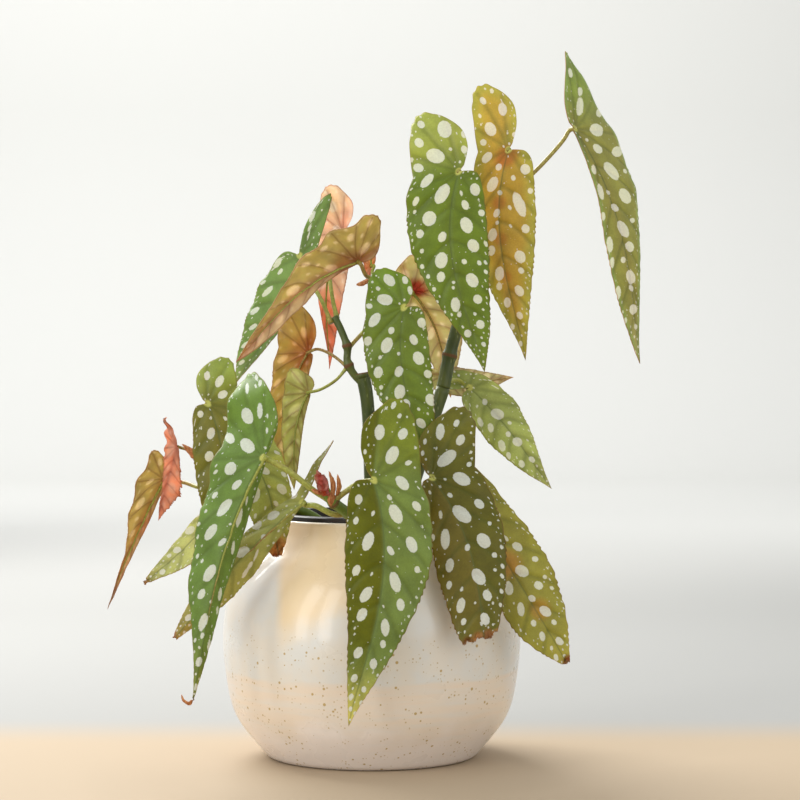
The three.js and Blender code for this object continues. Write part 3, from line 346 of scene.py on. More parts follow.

# Spots of the leaves that face the front, read off enlargements of the photograph. An
# enlargement has its left edge, top edge and scale in the photograph. A leaf has the name of its
# enlargement, and then each spot's middle, half length and half width in it.
ENLARGEMENTS = {
    "right": (335, 395, 4.61),
    "middle": (225, 175, 4.825),
    "crown": (395, 40, 4.545),
    "left": (95, 345, 4.296),
}
PICTURE_MM = 1.63  # pixels of the photograph to a millimetre, at the leaves
SPOTS = {
    "leaf_front": ("right", (
        (205, 172, 36, 24), (313, 180, 28, 21), (297, 97, 13, 10), (270, 48, 19, 12), (263, 278, 45, 27),
        (338, 313, 18, 12), (139, 262, 12, 9), (136, 322, 10, 6), (369, 243, 9, 9), (310, 406, 39, 24),
        (372, 404, 8, 8), (251, 472, 15, 11), (376, 513, 27, 18), (280, 549, 48, 27), (402, 606, 9, 8),
        (353, 690, 40, 24), (256, 718, 24, 14), (379, 805, 17, 14), (277, 862, 49, 24), (302, 967, 29, 19),
        (231, 1072, 40, 20), (221, 1148, 19, 14), (177, 1240, 25, 18), (133, 1357, 15, 12),
        (109, 482, 24, 18), (97, 580, 19, 13), (175, 546, 14, 8), (153, 675, 46, 24), (98, 808, 27, 18),
        (143, 920, 41, 23), (124, 1013, 33, 22), (107, 1188, 29, 20), (89, 1306, 20, 15),
        (74, 1392, 17, 11), (121, 1422, 14, 10), (71, 1447, 12, 9), (92, 1468, 11, 8), (340, 1020, 8, 7),
        (375, 933, 8, 7), (399, 862, 9, 7), (80, 682, 8, 7), (169, 826, 10, 7), (223, 975, 8, 6),
        (90, 1102, 7, 6), (236, 61, 11, 9), (258, 1180, 9, 7), (294, 614, 6, 5), (288, 790, 6, 5),
    )),
    "leaf_front_right": ("right", (
        (485, 170, 38, 20), (560, 130, 18, 13), (578, 208, 27, 19), (515, 293, 52, 28), (617, 321, 13, 12),
        (584, 388, 43, 28), (503, 75, 16, 11), (530, 463, 14, 10), (664, 503, 27, 19), (584, 550, 52, 30),
        (487, 551, 20, 9), (508, 665, 48, 21), (611, 703, 18, 12), (685, 672, 38, 28), (713, 592, 11, 10),
        (735, 738, 14, 13), (738, 806, 9, 9), (529, 785, 33, 19), (662, 838, 42, 28), (526, 877, 20, 13),
        (702, 924, 27, 20), (580, 970, 36, 19), (691, 1032, 30, 21), (593, 1045, 17, 12), (584, 895, 12, 8),
        (437, 450, 10, 7), (452, 658, 17, 9), (508, 389, 8, 7), (624, 265, 10, 8), (630, 295, 9, 7),
        (415, 215, 14, 10), (404, 270, 14, 8), (768, 702, 11, 9), (772, 790, 13, 9), (770, 835, 13, 9),
        (767, 905, 12, 9), (762, 968, 10, 8), (485, 423, 8, 7), (467, 248, 9, 6), (728, 960, 8, 6),
        (675, 1056, 9, 7), (646, 958, 7, 6),
    )),
    "leaf_low_right": ("right", (
        (840, 700, 26, 19), (861, 812, 34, 25), (937, 878, 22, 19), (801, 890, 33, 20), (856, 988, 33, 17),
        (970, 997, 31, 22), (907, 938, 18, 14), (915, 1052, 16, 13), (921, 757, 15, 14), (954, 1113, 23, 14),
        (1035, 1135, 22, 16), (1009, 1048, 14, 12), (1018, 1210, 18, 11), (750, 553, 15, 12),
        (782, 660, 20, 11), (967, 838, 11, 10), (998, 890, 11, 9), (997, 1167, 11, 8), (824, 960, 7, 5),
        (1062, 1205, 12, 9),
    )),
    "leaf_right_middle": ("right", (
        (748, 88, 32, 24), (670, 125, 24, 13), (717, 152, 22, 14), (768, 235, 28, 16), (840, 217, 24, 21),
        (797, 182, 14, 13), (690, 32, 15, 13), (800, 280, 18, 11), (860, 318, 18, 15), (804, 130, 10, 9),
        (907, 298, 17, 12), (709, 205, 8, 7), (655, 52, 9, 7),
    )),
    "leaf_centre": ("middle", (
        (793, 508, 34, 23), (772, 602, 38, 27), (697, 633, 17, 13), (739, 548, 12, 10), (722, 700, 40, 23),
        (803, 750, 18, 15), (690, 801, 23, 20), (781, 822, 40, 27), (949, 713, 24, 21), (910, 795, 27, 19),
        (934, 884, 34, 26), (740, 952, 28, 22), (839, 948, 27, 20), (978, 960, 21, 18), (843, 1047, 36, 26),
        (993, 1085, 30, 25), (872, 1108, 27, 22), (946, 1198, 28, 20), (749, 880, 10, 10), (838, 862, 9, 9),
        (893, 558, 22, 12), (869, 508, 20, 14), (1008, 1030, 9, 9), (1016, 1138, 16, 10), (935, 1130, 9, 8),
        (700, 480, 12, 8), (983, 790, 12, 8), (996, 850, 14, 8), (754, 1025, 12, 10),
    )),
    "leaf_crown_left": ("crown", (
        (226, 407, 40, 32), (119, 385, 19, 16), (110, 468, 24, 19), (184, 527, 43, 32), (107, 582, 25, 20),
        (146, 641, 40, 19), (215, 700, 50, 28), (156, 812, 35, 31), (95, 733, 24, 13), (114, 882, 20, 18),
        (215, 895, 25, 18), (211, 1002, 37, 28), (209, 1077, 24, 19), (275, 1203, 33, 21),
        (330, 1334, 18, 16), (364, 680, 28, 23), (319, 750, 24, 16), (325, 842, 38, 27), (356, 935, 31, 26),
        (393, 787, 16, 15), (315, 1008, 13, 12), (383, 1014, 12, 11), (351, 1092, 35, 26),
        (376, 1178, 22, 20), (388, 1293, 21, 19), (292, 1248, 12, 11), (363, 1245, 9, 8), (403, 1383, 13, 10),
        (315, 498, 18, 15), (313, 430, 18, 13), (252, 497, 9, 9), (413, 685, 15, 9), (74, 545, 12, 12),
        (75, 677, 9, 7), (90, 782, 11, 8), (123, 960, 11, 11), (124, 1030, 11, 11), (151, 1075, 11, 10),
        (178, 1133, 10, 10), (192, 1190, 9, 8), (412, 927, 15, 9), (411, 1012, 12, 8), (266, 1102, 8, 8),
        (265, 1127, 8, 8), (228, 1236, 8, 7), (301, 697, 14, 7), (145, 318, 14, 8), (202, 345, 9, 7),
        (170, 328, 12, 6), (413, 1055, 12, 9),
    )),
    "leaf_crown_middle": ("crown", (
        (489, 315, 30, 20), (400, 277, 19, 14), (434, 405, 33, 25), (402, 466, 16, 15), (418, 535, 29, 19),
        (471, 578, 17, 14), (443, 656, 37, 22), (477, 694, 12, 12), (592, 588, 24, 23), (537, 627, 13, 11),
        (565, 748, 60, 24), (614, 686, 14, 13), (593, 858, 21, 19), (462, 787, 21, 14), (465, 830, 10, 9),
        (443, 885, 30, 20), (568, 985, 30, 24), (439, 957, 24, 17), (475, 1062, 33, 20), (573, 1048, 15, 14),
        (474, 1120, 18, 14), (565, 1140, 27, 19), (510, 1193, 24, 16), (567, 1252, 18, 13),
        (534, 1303, 14, 10), (440, 233, 12, 10), (541, 430, 12, 9), (385, 345, 12, 8), (521, 762, 13, 8),
        (525, 845, 11, 7), (570, 1380, 14, 9), (580, 745, 17, 11),
    )),
    "leaf_crown_right": ("crown", (
        (838, 303, 42, 16), (840, 235, 20, 10), (915, 410, 33, 26), (919, 495, 26, 17), (1008, 508, 24, 24),
        (982, 597, 50, 22), (1043, 710, 38, 24), (999, 762, 20, 15), (933, 690, 38, 12), (903, 590, 22, 11),
        (1034, 860, 42, 21), (974, 930, 36, 14), (1065, 940, 25, 18), (1034, 1000, 15, 12),
        (1068, 1077, 32, 20), (985, 1012, 25, 10), (1012, 1150, 32, 13), (1080, 1225, 24, 18),
        (1073, 1128, 16, 11), (1043, 597, 12, 9), (1078, 820, 12, 11), (945, 802, 20, 9), (967, 693, 13, 8),
        (1093, 1303, 14, 9), (795, 150, 22, 9), (925, 333, 20, 14), (1047, 1275, 14, 7), (1090, 1420, 12, 6),
        (870, 455, 9, 8),
    )),
    "leaf_front_left": ("left", (
        (655, 305, 36, 24), (709, 283, 34, 11), (655, 187, 24, 9), (582, 402, 25, 20), (656, 433, 36, 27),
        (583, 531, 30, 24), (611, 601, 28, 14), (517, 646, 17, 10), (555, 700, 46, 20), (500, 805, 41, 19),
        (546, 847, 22, 11), (494, 980, 42, 20), (459, 1070, 24, 16), (464, 1192, 40, 15), (446, 1360, 22, 12),
        (497, 1103, 9, 6), (619, 740, 43, 11), (590, 870, 30, 8), (535, 1070, 28, 8), (662, 538, 8, 6),
        (694, 140, 14, 8), (710, 165, 16, 8), (692, 178, 10, 6), (519, 545, 14, 8), (532, 575, 8, 5),
        (440, 907, 12, 7), (462, 928, 10, 7), (740, 367, 14, 6), (742, 305, 12, 5), (664, 605, 18, 5),
        (652, 670, 20, 5), (487, 1290, 26, 7), (460, 1248, 14, 7), (431, 1268, 10, 6), (465, 1408, 17, 6),
        (433, 1468, 15, 6), (582, 770, 7, 5), (461, 863, 7, 5), (477, 715, 10, 6), (446, 770, 12, 7),
        (443, 825, 10, 6), (525, 1140, 18, 5),
    )),
    "leaf_left_upper": ("left", (
        (482, 132, 20, 14), (535, 156, 28, 17), (548, 213, 23, 17), (594, 260, 20, 17), (453, 297, 15, 14),
        (498, 380, 26, 17), (490, 478, 23, 19), (455, 357, 8, 8), (559, 316, 12, 9), (497, 314, 8, 7),
        (469, 553, 8, 7),
    )),
    "leaf_left_folded": ("left", (
        (851, 643, 19, 18), (776, 657, 14, 13), (767, 733, 28, 17), (696, 774, 24, 18), (634, 890, 32, 20),
        (723, 824, 13, 9), (731, 698, 8, 7), (674, 742, 7, 6), (620, 835, 12, 5), (645, 980, 25, 8),
        (400, 1170, 18, 11), (690, 900, 28, 6), (665, 945, 20, 7), (384, 1235, 8, 6),
    )),
    "leaf_left_low": ("left", (
        (411, 797, 24, 15), (352, 880, 18, 14), (320, 905, 11, 9), (441, 733, 12, 9), (366, 818, 11, 9),
        (290, 975, 14, 11), (340, 930, 7, 5), (378, 900, 6, 5),
    )),
    "leaf_shoot_back": ("middle", (
        (256, 424, 30, 13), (207, 562, 36, 13), (145, 656, 28, 13), (136, 733, 24, 12), (99, 820, 24, 11),
        (268, 467, 20, 9), (390, 215, 20, 8), (420, 200, 30, 12), (185, 520, 18, 8), (80, 905, 18, 9),
        (408, 255, 20, 8), (335, 320, 12, 7),
    )),
}


# ---- Curves ----
def catmull_rom(points, t):
    """The point at t, from 0 to 1, of an even Catmull-Rom curve through plane points."""
    last = len(points) - 1
    place = t * last
    i = min(int(place), last - 1)
    w = place - i
    p0, p1 = np.array(points[max(i - 1, 0)]), np.array(points[i])
    p2, p3 = np.array(points[i + 1]), np.array(points[min(i + 2, last)])
    v0, v1 = (p2 - p0) / 2, (p3 - p1) / 2
    return (2 * p1 - 2 * p2 + v0 + v1) * w**3 + (3 * p2 - 3 * p1 - 2 * v0 - v1) * w**2 + v0 * w + p1


CURVE_STEPS = np.linspace(0, 1, 401)
CURVES = {name: np.array([catmull_rom(points, t) for t in CURVE_STEPS]) for name, points in OUTLINES.items()}


def outline_at(name, t):
    """The points of an outline at t, from 0 to 1."""
    curve = CURVES[name]
    return np.interp(t, CURVE_STEPS, curve[:, 0]), np.interp(t, CURVE_STEPS, curve[:, 1])


def smooth_path(points, steps):
    """A centripetal Catmull-Rom line through points in space, with steps to each span."""
    ends = [2 * points[0] - points[1], *points, 2 * points[-1] - points[-2]]
    path = []
    for p0, p1, p2, p3 in zip(ends, ends[1:], ends[2:], ends[3:]):
        d0, d1, d2 = (max((q - p).length, 1e-6) ** 0.5 for p, q in ((p0, p1), (p1, p2), (p2, p3)))
        m1 = ((p1 - p0) / d0 - (p2 - p0) / (d0 + d1) + (p2 - p1) / d1) * d1
        m2 = ((p2 - p1) / d1 - (p3 - p1) / (d1 + d2) + (p3 - p2) / d2) * d1
        for k in range(steps):
            t = k / steps
            path.append(
                p1 * (2 * t**3 - 3 * t**2 + 1) + m1 * (t**3 - 2 * t**2 + t)
                + p2 * (3 * t**2 - 2 * t**3) + m2 * (t**3 - t**2)
            )
    return path + [points[-1].copy()]


def lengths_along(path):
    """How far along a path each of its points lies."""
    run = [0.0]
    for p, q in zip(path, path[1:]):
        run.append(run[-1] + (q - p).length)
    return run


# ---- Meshes ----
MERGE = 0.001  # mm, closer than which two vertices are one


def sweep(bm, path, radii, sides, flat=1.0):
    """A stem along a path in mm: a ring, drawn out from point to point, and closed at its ends. It is
    round, or flattened to a share of its width, and gives its rings of vertices."""
    ring = bmesh.ops.create_circle(bm, cap_ends=False, radius=1, segments=sides)["verts"]
    first = ring[:]
    edges = [edge for edge in bm.edges if all(vert in ring for vert in edge.verts)]
    along = (path[1] - path[0]).normalized()
    side = along.orthogonal().normalized()
    before = Matrix.Identity(4)
    rings = []
    for k, point in enumerate(path):
        ahead = path[min(k + 1, len(path) - 1)] - path[max(k - 1, 0)]
        along = ahead.normalized()
        side = (side - along * side.dot(along)).normalized()
        over = along.cross(side)
        turn = Matrix((side * radii[k], over * radii[k] * flat, along)).transposed().to_4x4()
        turn.translation = point
        if k:
            grown = bmesh.ops.extrude_edge_only(bm, edges=edges)["geom"]
            ring = [part for part in grown if isinstance(part, bmesh.types.BMVert)]
            edges = [part for part in grown if isinstance(part, bmesh.types.BMEdge) and part.is_boundary]
        bmesh.ops.transform(bm, matrix=turn @ before.inverted(), verts=ring)
        before = turn
        rings.append(ring)
    for end in (first, ring):
        loop = dict.fromkeys(edge for vert in end for edge in vert.link_edges if edge.is_boundary)
        bmesh.ops.contextual_create(bm, geom=list(loop))
    return rings


def turned(bm, profile, segments):
    """A round body about Z from a profile of (radius, height) in mm."""
    verts = [bm.verts.new((radius, 0, height)) for radius, height in profile]
    edges = [bm.edges.new(pair) for pair in zip(verts, verts[1:])]
    bmesh.ops.spin(
        bm, geom=verts + edges, cent=(0, 0, 0), axis=(0, 0, 1), angle=2 * math.pi, steps=segments,
        use_merge=True, use_duplicate=False,
    )
    bmesh.ops.remove_doubles(bm, verts=bm.verts, dist=MERGE)
    bmesh.ops.recalc_face_normals(bm, faces=bm.faces)


def linked_object(bm, name, smooth=True):
    """Makes an object of a bmesh, links it to the scene, and frees the bmesh."""
    mesh = bpy.data.meshes.new(name)
    bm.to_mesh(mesh)
    bm.free()
    mesh.polygons.foreach_set("use_smooth", [smooth] * len(mesh.polygons))
    thing = bpy.data.objects.new(name, mesh)
    bpy.context.scene.collection.objects.link(thing)
    return thing


def add_piece(bm, name, materials, nodes, smooth=True):
    """Makes an object of a bmesh in millimetres, which rides on the plant and stands for CAD nodes."""
    bmesh.ops.scale(bm, vec=(MM, MM, MM), verts=bm.verts)
    piece = linked_object(bm, name, smooth)
    for material in materials:
        piece.data.materials.append(material)
    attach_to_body(piece, "root")
    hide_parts(*nodes)
    return piece


def smooth_profile(points, steps):
    """A profile of (radius, height) rounded through its points."""
    line = smooth_path([Vector((r, 0, z)) for r, z in points], steps)
    return [(point.x, point.z) for point in line]


def linear(colour):
    """An sRGB hex colour as the linear numbers that Blender takes."""
    parts = (int(colour[i : i + 2], 16) / 255 for i in (0, 2, 4))
    return tuple(p / 12.92 if p <= 0.04045 else ((p + 0.055) / 1.055) ** 2.4 for p in parts)


def rgba(colour):
    """A colour with its alpha."""
    return (*colour, 1)


def smoothstep(low, high, value):
    """A smooth rise from 0 at low to 1 at high, or a fall where low is the higher of the two."""
    t = np.clip((value - low) / (high - low), 0, 1)
    return t * t * (3 - 2 * t)


# ---- Leaves ----
def leaf_frame(leaf):
    """A leaf's petiole point, the way to its tip, the way across to its big half, up, and length."""
    attach = np.array(leaf["attach"], float)
    along = np.array(leaf["tip"], float) - attach
    length = np.linalg.norm(along)
    along /= length
    face = np.array(leaf["face"], float)
    up = face - along * face.dot(along)
    up /= np.linalg.norm(up)
    return attach, along, np.cross(up, along) * leaf["big"], up, length


# Shares of a leaf's length: how far from the midrib its curl and its wave are measured, and how far
# its sabre bend stands out.
CURL_REACH = 0.4
WAVE_REACH = 0.15
SABRE_BOW = 5.2


def on_leaf(leaf, a, b, lift=0):
    """Flat places (a, b) on the bent leaf, in millimetres, lifted off its middle surface."""
    attach, along, across, up, length = leaf_frame(leaf)
    big = b > 0
    fold = np.radians(np.where(big, leaf["foldBig"], leaf["foldSmall"]))
    curl = np.radians(np.where(big, leaf["curlBig"], leaf["curlSmall"]))
    reach = np.abs(b)
    angle = fold + curl * reach / CURL_REACH
    height = -reach * np.sin(angle)
    arch = leaf["arch"] * 4 * a
    height += np.where(a > 0, arch * (1 - a), arch - leaf["earCurl"] * a * a)
    ripple = np.sin(2 * np.pi * leaf["waves"] * a + leaf["phase"])
    height += leaf["wave"] * (reach / WAVE_REACH) ** 2 * ripple
    height += lift / length
    bow = np.where(a > 0, SABRE_BOW * a * np.clip(1 - a, 0, 1) ** 1.5, 0)
    side = b * np.cos(angle) + leaf["sabre"] * bow
    turn = math.radians(leaf["twist"]) * a
    out = side * np.cos(turn) - height * np.sin(turn)
    rise = side * np.sin(turn) + height * np.cos(turn)
    return attach + length * (a[:, None] * along + out[:, None] * across + rise[:, None] * up)


def flat_place(leaf, half, row, column, ears, tooth=0):
    """The flat place (a, b) of a grid place. Rows up to ears lie in the ear, and the rest along the side."""
    t = np.clip(row / ears, 0, 1)
    s = np.clip((row - ears) / (1 - ears), 0, 1)
    ear_x, ear_y = outline_at(half + "_ear", t)
    side_x, side_y = outline_at(half + "_side", s)
    in_ear = row < ears
    x = np.where(in_ear, ear_x, side_x)
    y = np.where(in_ear, ear_y, side_y)
    inner = np.where(in_ear, 0, s)
    v = column + tooth * column**8
    # The side veins bow less where they come close to the petiole.
    bow = VEIN_BOW * np.abs(y) * np.minimum(1, inner / 0.25)
    a = inner + (x - inner) * v - bow * 4 * v * (1 - v)
    b = y * v * np.interp(a, WIDTH_PLACES, leaf[half + "Width"])
    ear = a < 0
    return np.where(ear, a * leaf["ear"], a), np.where(ear, b - a * leaf["lean"], b)


# A half of a blade is a grid: rows round the ear and then along the side, and columns from the midrib
# out to the margin. Side veins run along rows, at these shares of the ear and of the side.
EAR_ROWS = {"big": 80, "small": 28}
SIDE_ROWS = 160
COLUMNS = {"big": 30, "small": 24}
EAR_VEINS = {"big": (0.3, 0.52, 0.72, 0.88), "small": (0.55,)}
SIDE_VEINS = (0, 0.17, 0.34, 0.5, 0.66, 0.8)
VEIN_REACH = 0.93  # how far from the midrib to the margin a side vein goes
VEIN_POINTS = 120
TEETH = (150, 190)  # the turn in radians of the teeth along a half: 24 to 30 of them
SEAM = 0.004  # mm, within which the two halves of a blade are joined at the midrib
RAGGED = 0.03  # how far a broken end wanders, in leaf lengths
# The leaves that face the front have the full grid, and the others have one half as fine.
FRONT_LEAVES = (
    "leaf_front", "leaf_front_right", "leaf_front_left", "leaf_low_right", "leaf_left_folded",
    "leaf_crown_left", "leaf_crown_middle", "leaf_centre", "leaf_crown_right",
)


def vein_rows(half, coarse):
    """The rows of a half, from 0 to 1, that the side veins run along."""
    ear_rows, side_rows = EAR_ROWS[half] // coarse, SIDE_ROWS // coarse
    rows = [round(t * ear_rows) for t in EAR_VEINS[half]]
    rows += [ear_rows + round(s * side_rows) for s in SIDE_VEINS]
    return [row / (ear_rows + side_rows) for row in rows]


def nearest(tree, points):
    """How far each point lies from the nearest one of a tree."""
    return np.array([tree.find(point)[2] for point in points])


def tree_of(points):
    """A search tree of points in space."""
    tree = kdtree.KDTree(len(points))
    for i, point in enumerate(points):
        tree.insert(point, i)
    tree.balance()
    return tree


def flat_blade(leaf, tooth_height, rng, coarse):
    """A leaf laid flat, in mm: x along the midrib and y across it, from two grids that meet there. With
    it come the points of its side veins."""
    bm = bmesh.new()
    length = leaf_frame(leaf)[-1]
    veins = []
    for half in ("big", "small"):
        rows = (EAR_ROWS[half] + SIDE_ROWS) // coarse
        ears = (EAR_ROWS[half] // coarse) / rows
        columns = COLUMNS[half] // coarse
        grid = bmesh.ops.create_grid(bm, x_segments=columns, y_segments=rows, size=1)["verts"]
        places = np.array([vert.co for vert in grid])
        column, row = (places[:, 0] + 1) / 2, (places[:, 1] + 1) / 2
        tooth = tooth_height * np.sin(row * rng.uniform(*TEETH) + 3 * np.sin(row * 37))
        a, b = flat_place(leaf, half, row, column, ears, tooth)
        for vert, x, y in zip(grid, a * length, b * length):
            vert.co = (x, y, 0)
        reach = np.linspace(0, VEIN_REACH, VEIN_POINTS)
        for vein in vein_rows(half, coarse):
            a, b = flat_place(leaf, half, np.full(VEIN_POINTS, vein), reach, ears)
            veins.append(np.stack([a * length, b * length, 0 * a], 1))
    bmesh.ops.remove_doubles(bm, verts=bm.verts, dist=SEAM)
    if leaf["cut"] < 1:
        broken = [
            vert for vert in bm.verts
            if vert.co.x > length * (leaf["cut"] + RAGGED * noise.noise((0, vert.co.y * 0.2, 7)))
        ]
        bmesh.ops.delete(bm, geom=broken, context="VERTS")
    bmesh.ops.dissolve_degenerate(bm, dist=MERGE, edges=bm.edges)
    bm.normal_update()
    bmesh.ops.reverse_faces(bm, faces=[face for face in bm.faces if face.normal.z < 0])
    return bm, veins


# Spots are scattered in rounds of (gap between spots, half lengths, most of them), all in mm.
SPOT_ROUNDS = ((7.2, (3.2, 5.2), 40), (2.8, (1.1, 2.0), 40))
RIM_ROUND = (1.5, (0.55, 1.0), 60)
RIM_BAND = 4.5  # how far in from the margin the small ones lie
RIM_ROUNDNESS = 0.85
SPOT_ROUNDNESS = (0.55, 0.72)  # least and most of a spot's width to its length
MIDRIB_PULL = 1.1  # how much more a spot turns to the midrib than to its side vein
FAR_OFF = 9.0  # what a place counts as its distance from a spot when none is near


def scatter(places, room, gap, sizes, count, rng, taken):
    """Puts up to count spots, as (x, y, half length), on free places. Room is how far a place lies from
    the margin, gap is what is left between spots, and sizes are the least and the most half length."""
    found = []
    for i in rng.permutation(len(places)):
        if len(found) >= count:
            break
        half = rng.uniform(*sizes)
        if room[i] < half * 0.9:
            continue
        if all(np.hypot(*(places[i] - other[:2])) > gap + half + other[2] for other in taken + found):
            found.append((places[i][0], places[i][1], half))
    return found


def spot_field(places, spots):
    """How far each place lies outside the nearest spot, in mm. Inside a spot it is below zero."""
    field = np.full(len(places), FAR_OFF)
    for x, y, half_long, half_wide, angle in spots:
        dx, dy = places[:, 0] - x, places[:, 1] - y
        u = (dx * math.cos(angle) + dy * math.sin(angle)) / half_long
        w = (dy * math.cos(angle) - dx * math.sin(angle)) / half_wide
        field = np.minimum(field, (np.sqrt(u * u + w * w) - 1) * half_wide)
    return field


def grow_spots(leaf, name, flat, edge, rib, veins, rng):
    """How far each place of a leaf lies outside its nearest spot. Long spots lie between the veins,
    turned halfway from them to the midrib, with smaller ones between, and small ones by the margin."""
    length = leaf_frame(leaf)[-1]
    vein_points = np.concatenate([vein[::4] for vein in veins])[:, :2]
    vein_ways = np.concatenate([np.gradient(vein, axis=0)[::4] for vein in veins])[:, :2]

    def way(x, y):
        near = np.argmin(np.hypot(vein_points[:, 0] - x, vein_points[:, 1] - y))
        turn = vein_ways[near] / np.linalg.norm(vein_ways[near])
        if x > 0:
            turn = turn + (MIDRIB_PULL * np.sign(turn[0]), 0)
        return turn / np.linalg.norm(turn)

    field = np.full(len(flat), FAR_OFF)
    taken = []
    if name in SPOTS:
        enlargement, rows = SPOTS[name]
        left, top, zoom = ENLARGEMENTS[enlargement]
        seen = seen_at(on_leaf(leaf, flat[:, 0] / length, flat[:, 1] / length))
        for x, y, half_long, half_wide in rows:
            away = seen - (left + x / zoom, top + y / zoom)
            spot = flat[np.argmin(np.hypot(*away.T))]
            ends = np.stack([spot, spot + way(*spot)]) / length
            ends = seen_at(on_leaf(leaf, ends[:, 0], ends[:, 1]))
            along = (ends[1] - ends[0]) / np.linalg.norm(ends[1] - ends[0])
            u = away @ along * zoom / half_long
            w = away @ (-along[1], along[0]) * zoom / half_wide
            outside = (np.hypot(u, w) - 1) * half_wide / zoom / PICTURE_MM
            half = half_long / zoom / PICTURE_MM
            near = np.hypot(*(flat - spot).T) < 3 * half + 2
            field = np.where(near, np.minimum(field, outside), field)
            taken.append((*spot, half * 0.8))
    else:
        clear = np.minimum(edge, rib * 1.3)
        for spot_round in SPOT_ROUNDS:
            new = scatter(flat, clear, *spot_round, rng, taken)
            taken += new
            spots = [
                (x, y, half, half * rng.uniform(*SPOT_ROUNDNESS), math.atan2(*way(x, y)[::-1]))
                for x, y, half in new
            ]
            field = np.minimum(field, spot_field(flat, spots))
    rim = np.where(edge < RIM_BAND, edge, 0)
    new = scatter(flat, rim, *RIM_ROUND, rng, taken)
    small = [(x, y, half, half * RIM_ROUNDNESS, 0) for x, y, half in new]
    return np.minimum(field, spot_field(flat, small))


def tints(leaf, look, flat, edge):
    """The colours of the upper face and the underside at each place of a flat leaf, and how dry it is."""
    length = leaf_frame(leaf)[-1]
    a, b = flat[:, 0] / length, flat[:, 1] / length
    main, ear, tip = (np.array(linear(colour)) for colour in look["upper"])
    # The ear's colour comes in behind the petiole, and the tip's over the last third.
    upper = main + smoothstep(0.06, -0.2, a)[:, None] * (ear - main)
    upper = upper + smoothstep(0.7, 1, a)[:, None] * (tip - upper)
    # The small half's own colour; on the front leaf it is painted yellowish light.
    if "small" in look:
        small = np.array(linear(look["small"]))
        upper = upper + (smoothstep(0.004, -0.012, b) * smoothstep(0.9, 0.6, a))[:, None] * (small - upper)
    if "rim" in look:
        rim, reach = np.array(linear(look["rim"][0])), look["rim"][1]
        upper = upper + (0.75 * smoothstep(reach, 0.2, edge))[:, None] * (rim - upper)
    body, ribs = (np.array(linear(colour)) for colour in look["under"])
    under = np.tile(body, (len(a), 1))
    under = under + (0.6 * smoothstep(0.06, 0, np.abs(b)))[:, None] * (ribs - under)
    dry = np.zeros(len(a))
    # Patches of colour; on the withered leaf, two of the underside's are painted highlights.
    for faces, stains in ((upper, look["stains"]), (under, look["under_stains_and_highlights"])):
        for x, y, reach, colour, strength in stains:
            away = np.hypot(flat[:, 0] - x * length, flat[:, 1] - y * length)
            share = strength * smoothstep(reach, reach * 0.35, away)
            faces += share[:, None] * (np.array(linear(colour)) - faces)
            if strength == 1:
                dry = np.maximum(dry, share)
    return upper, under, dry


def set_attribute(mesh, name, kind, values):
    """Gives every vertex of a mesh its value of a named attribute."""
    attribute = mesh.attributes.new(name, kind, "POINT")
    field = {"FLOAT": "value", "FLOAT_VECTOR": "vector", "FLOAT_COLOR": "color"}[kind]
    attribute.data.foreach_set(field, np.asarray(values, np.float32).ravel())


QUILT_WIDTH = 3.2  # mm from a side vein to the top of a quilt
QUILT_FADE = 5  # mm from the margin over which the quilts and furrows come in
RIB_FURROW = (0.45, 1.1)  # depth of the furrow over the midrib, and half its width
VEIN_FURROW = (0.12, 0.5)
RUFFLE_BAND = 9  # mm in from the margin that the fine crumples reach
DRY_LIFT = 2.4  # mm that dead tissue is twisted up and down, and along the leaf
DRY_SHIFT = 1.4


def wander(flat, scale, layer):
    """Noise at each flat place, from -1 to 1."""
    return np.array([noise.noise((x * scale, y * scale, layer)) for x, y in flat])


def relief(flat, length, quilting, crumple, edge, vein, rib):
    """How far each place of a blade lies off its middle surface, in mm: quilts between furrows along
    the side veins and the midrib, and crumples that are finer towards the margin."""
    inside = smoothstep(0, QUILT_FADE, edge)
    lift = quilting * inside * (smoothstep(0, QUILT_WIDTH, vein) - 0.6)
    for away, (depth, width) in ((rib, RIB_FURROW), (vein, VEIN_FURROW)):
        lift -= depth * np.exp(-((away / width) ** 2)) * inside
    coarse, fine = wander(flat, 0.07, length), wander(flat, 0.16, -length)
    return lift + crumple * (2 * coarse + 1.4 * fine * smoothstep(RUFFLE_BAND, 0, edge))


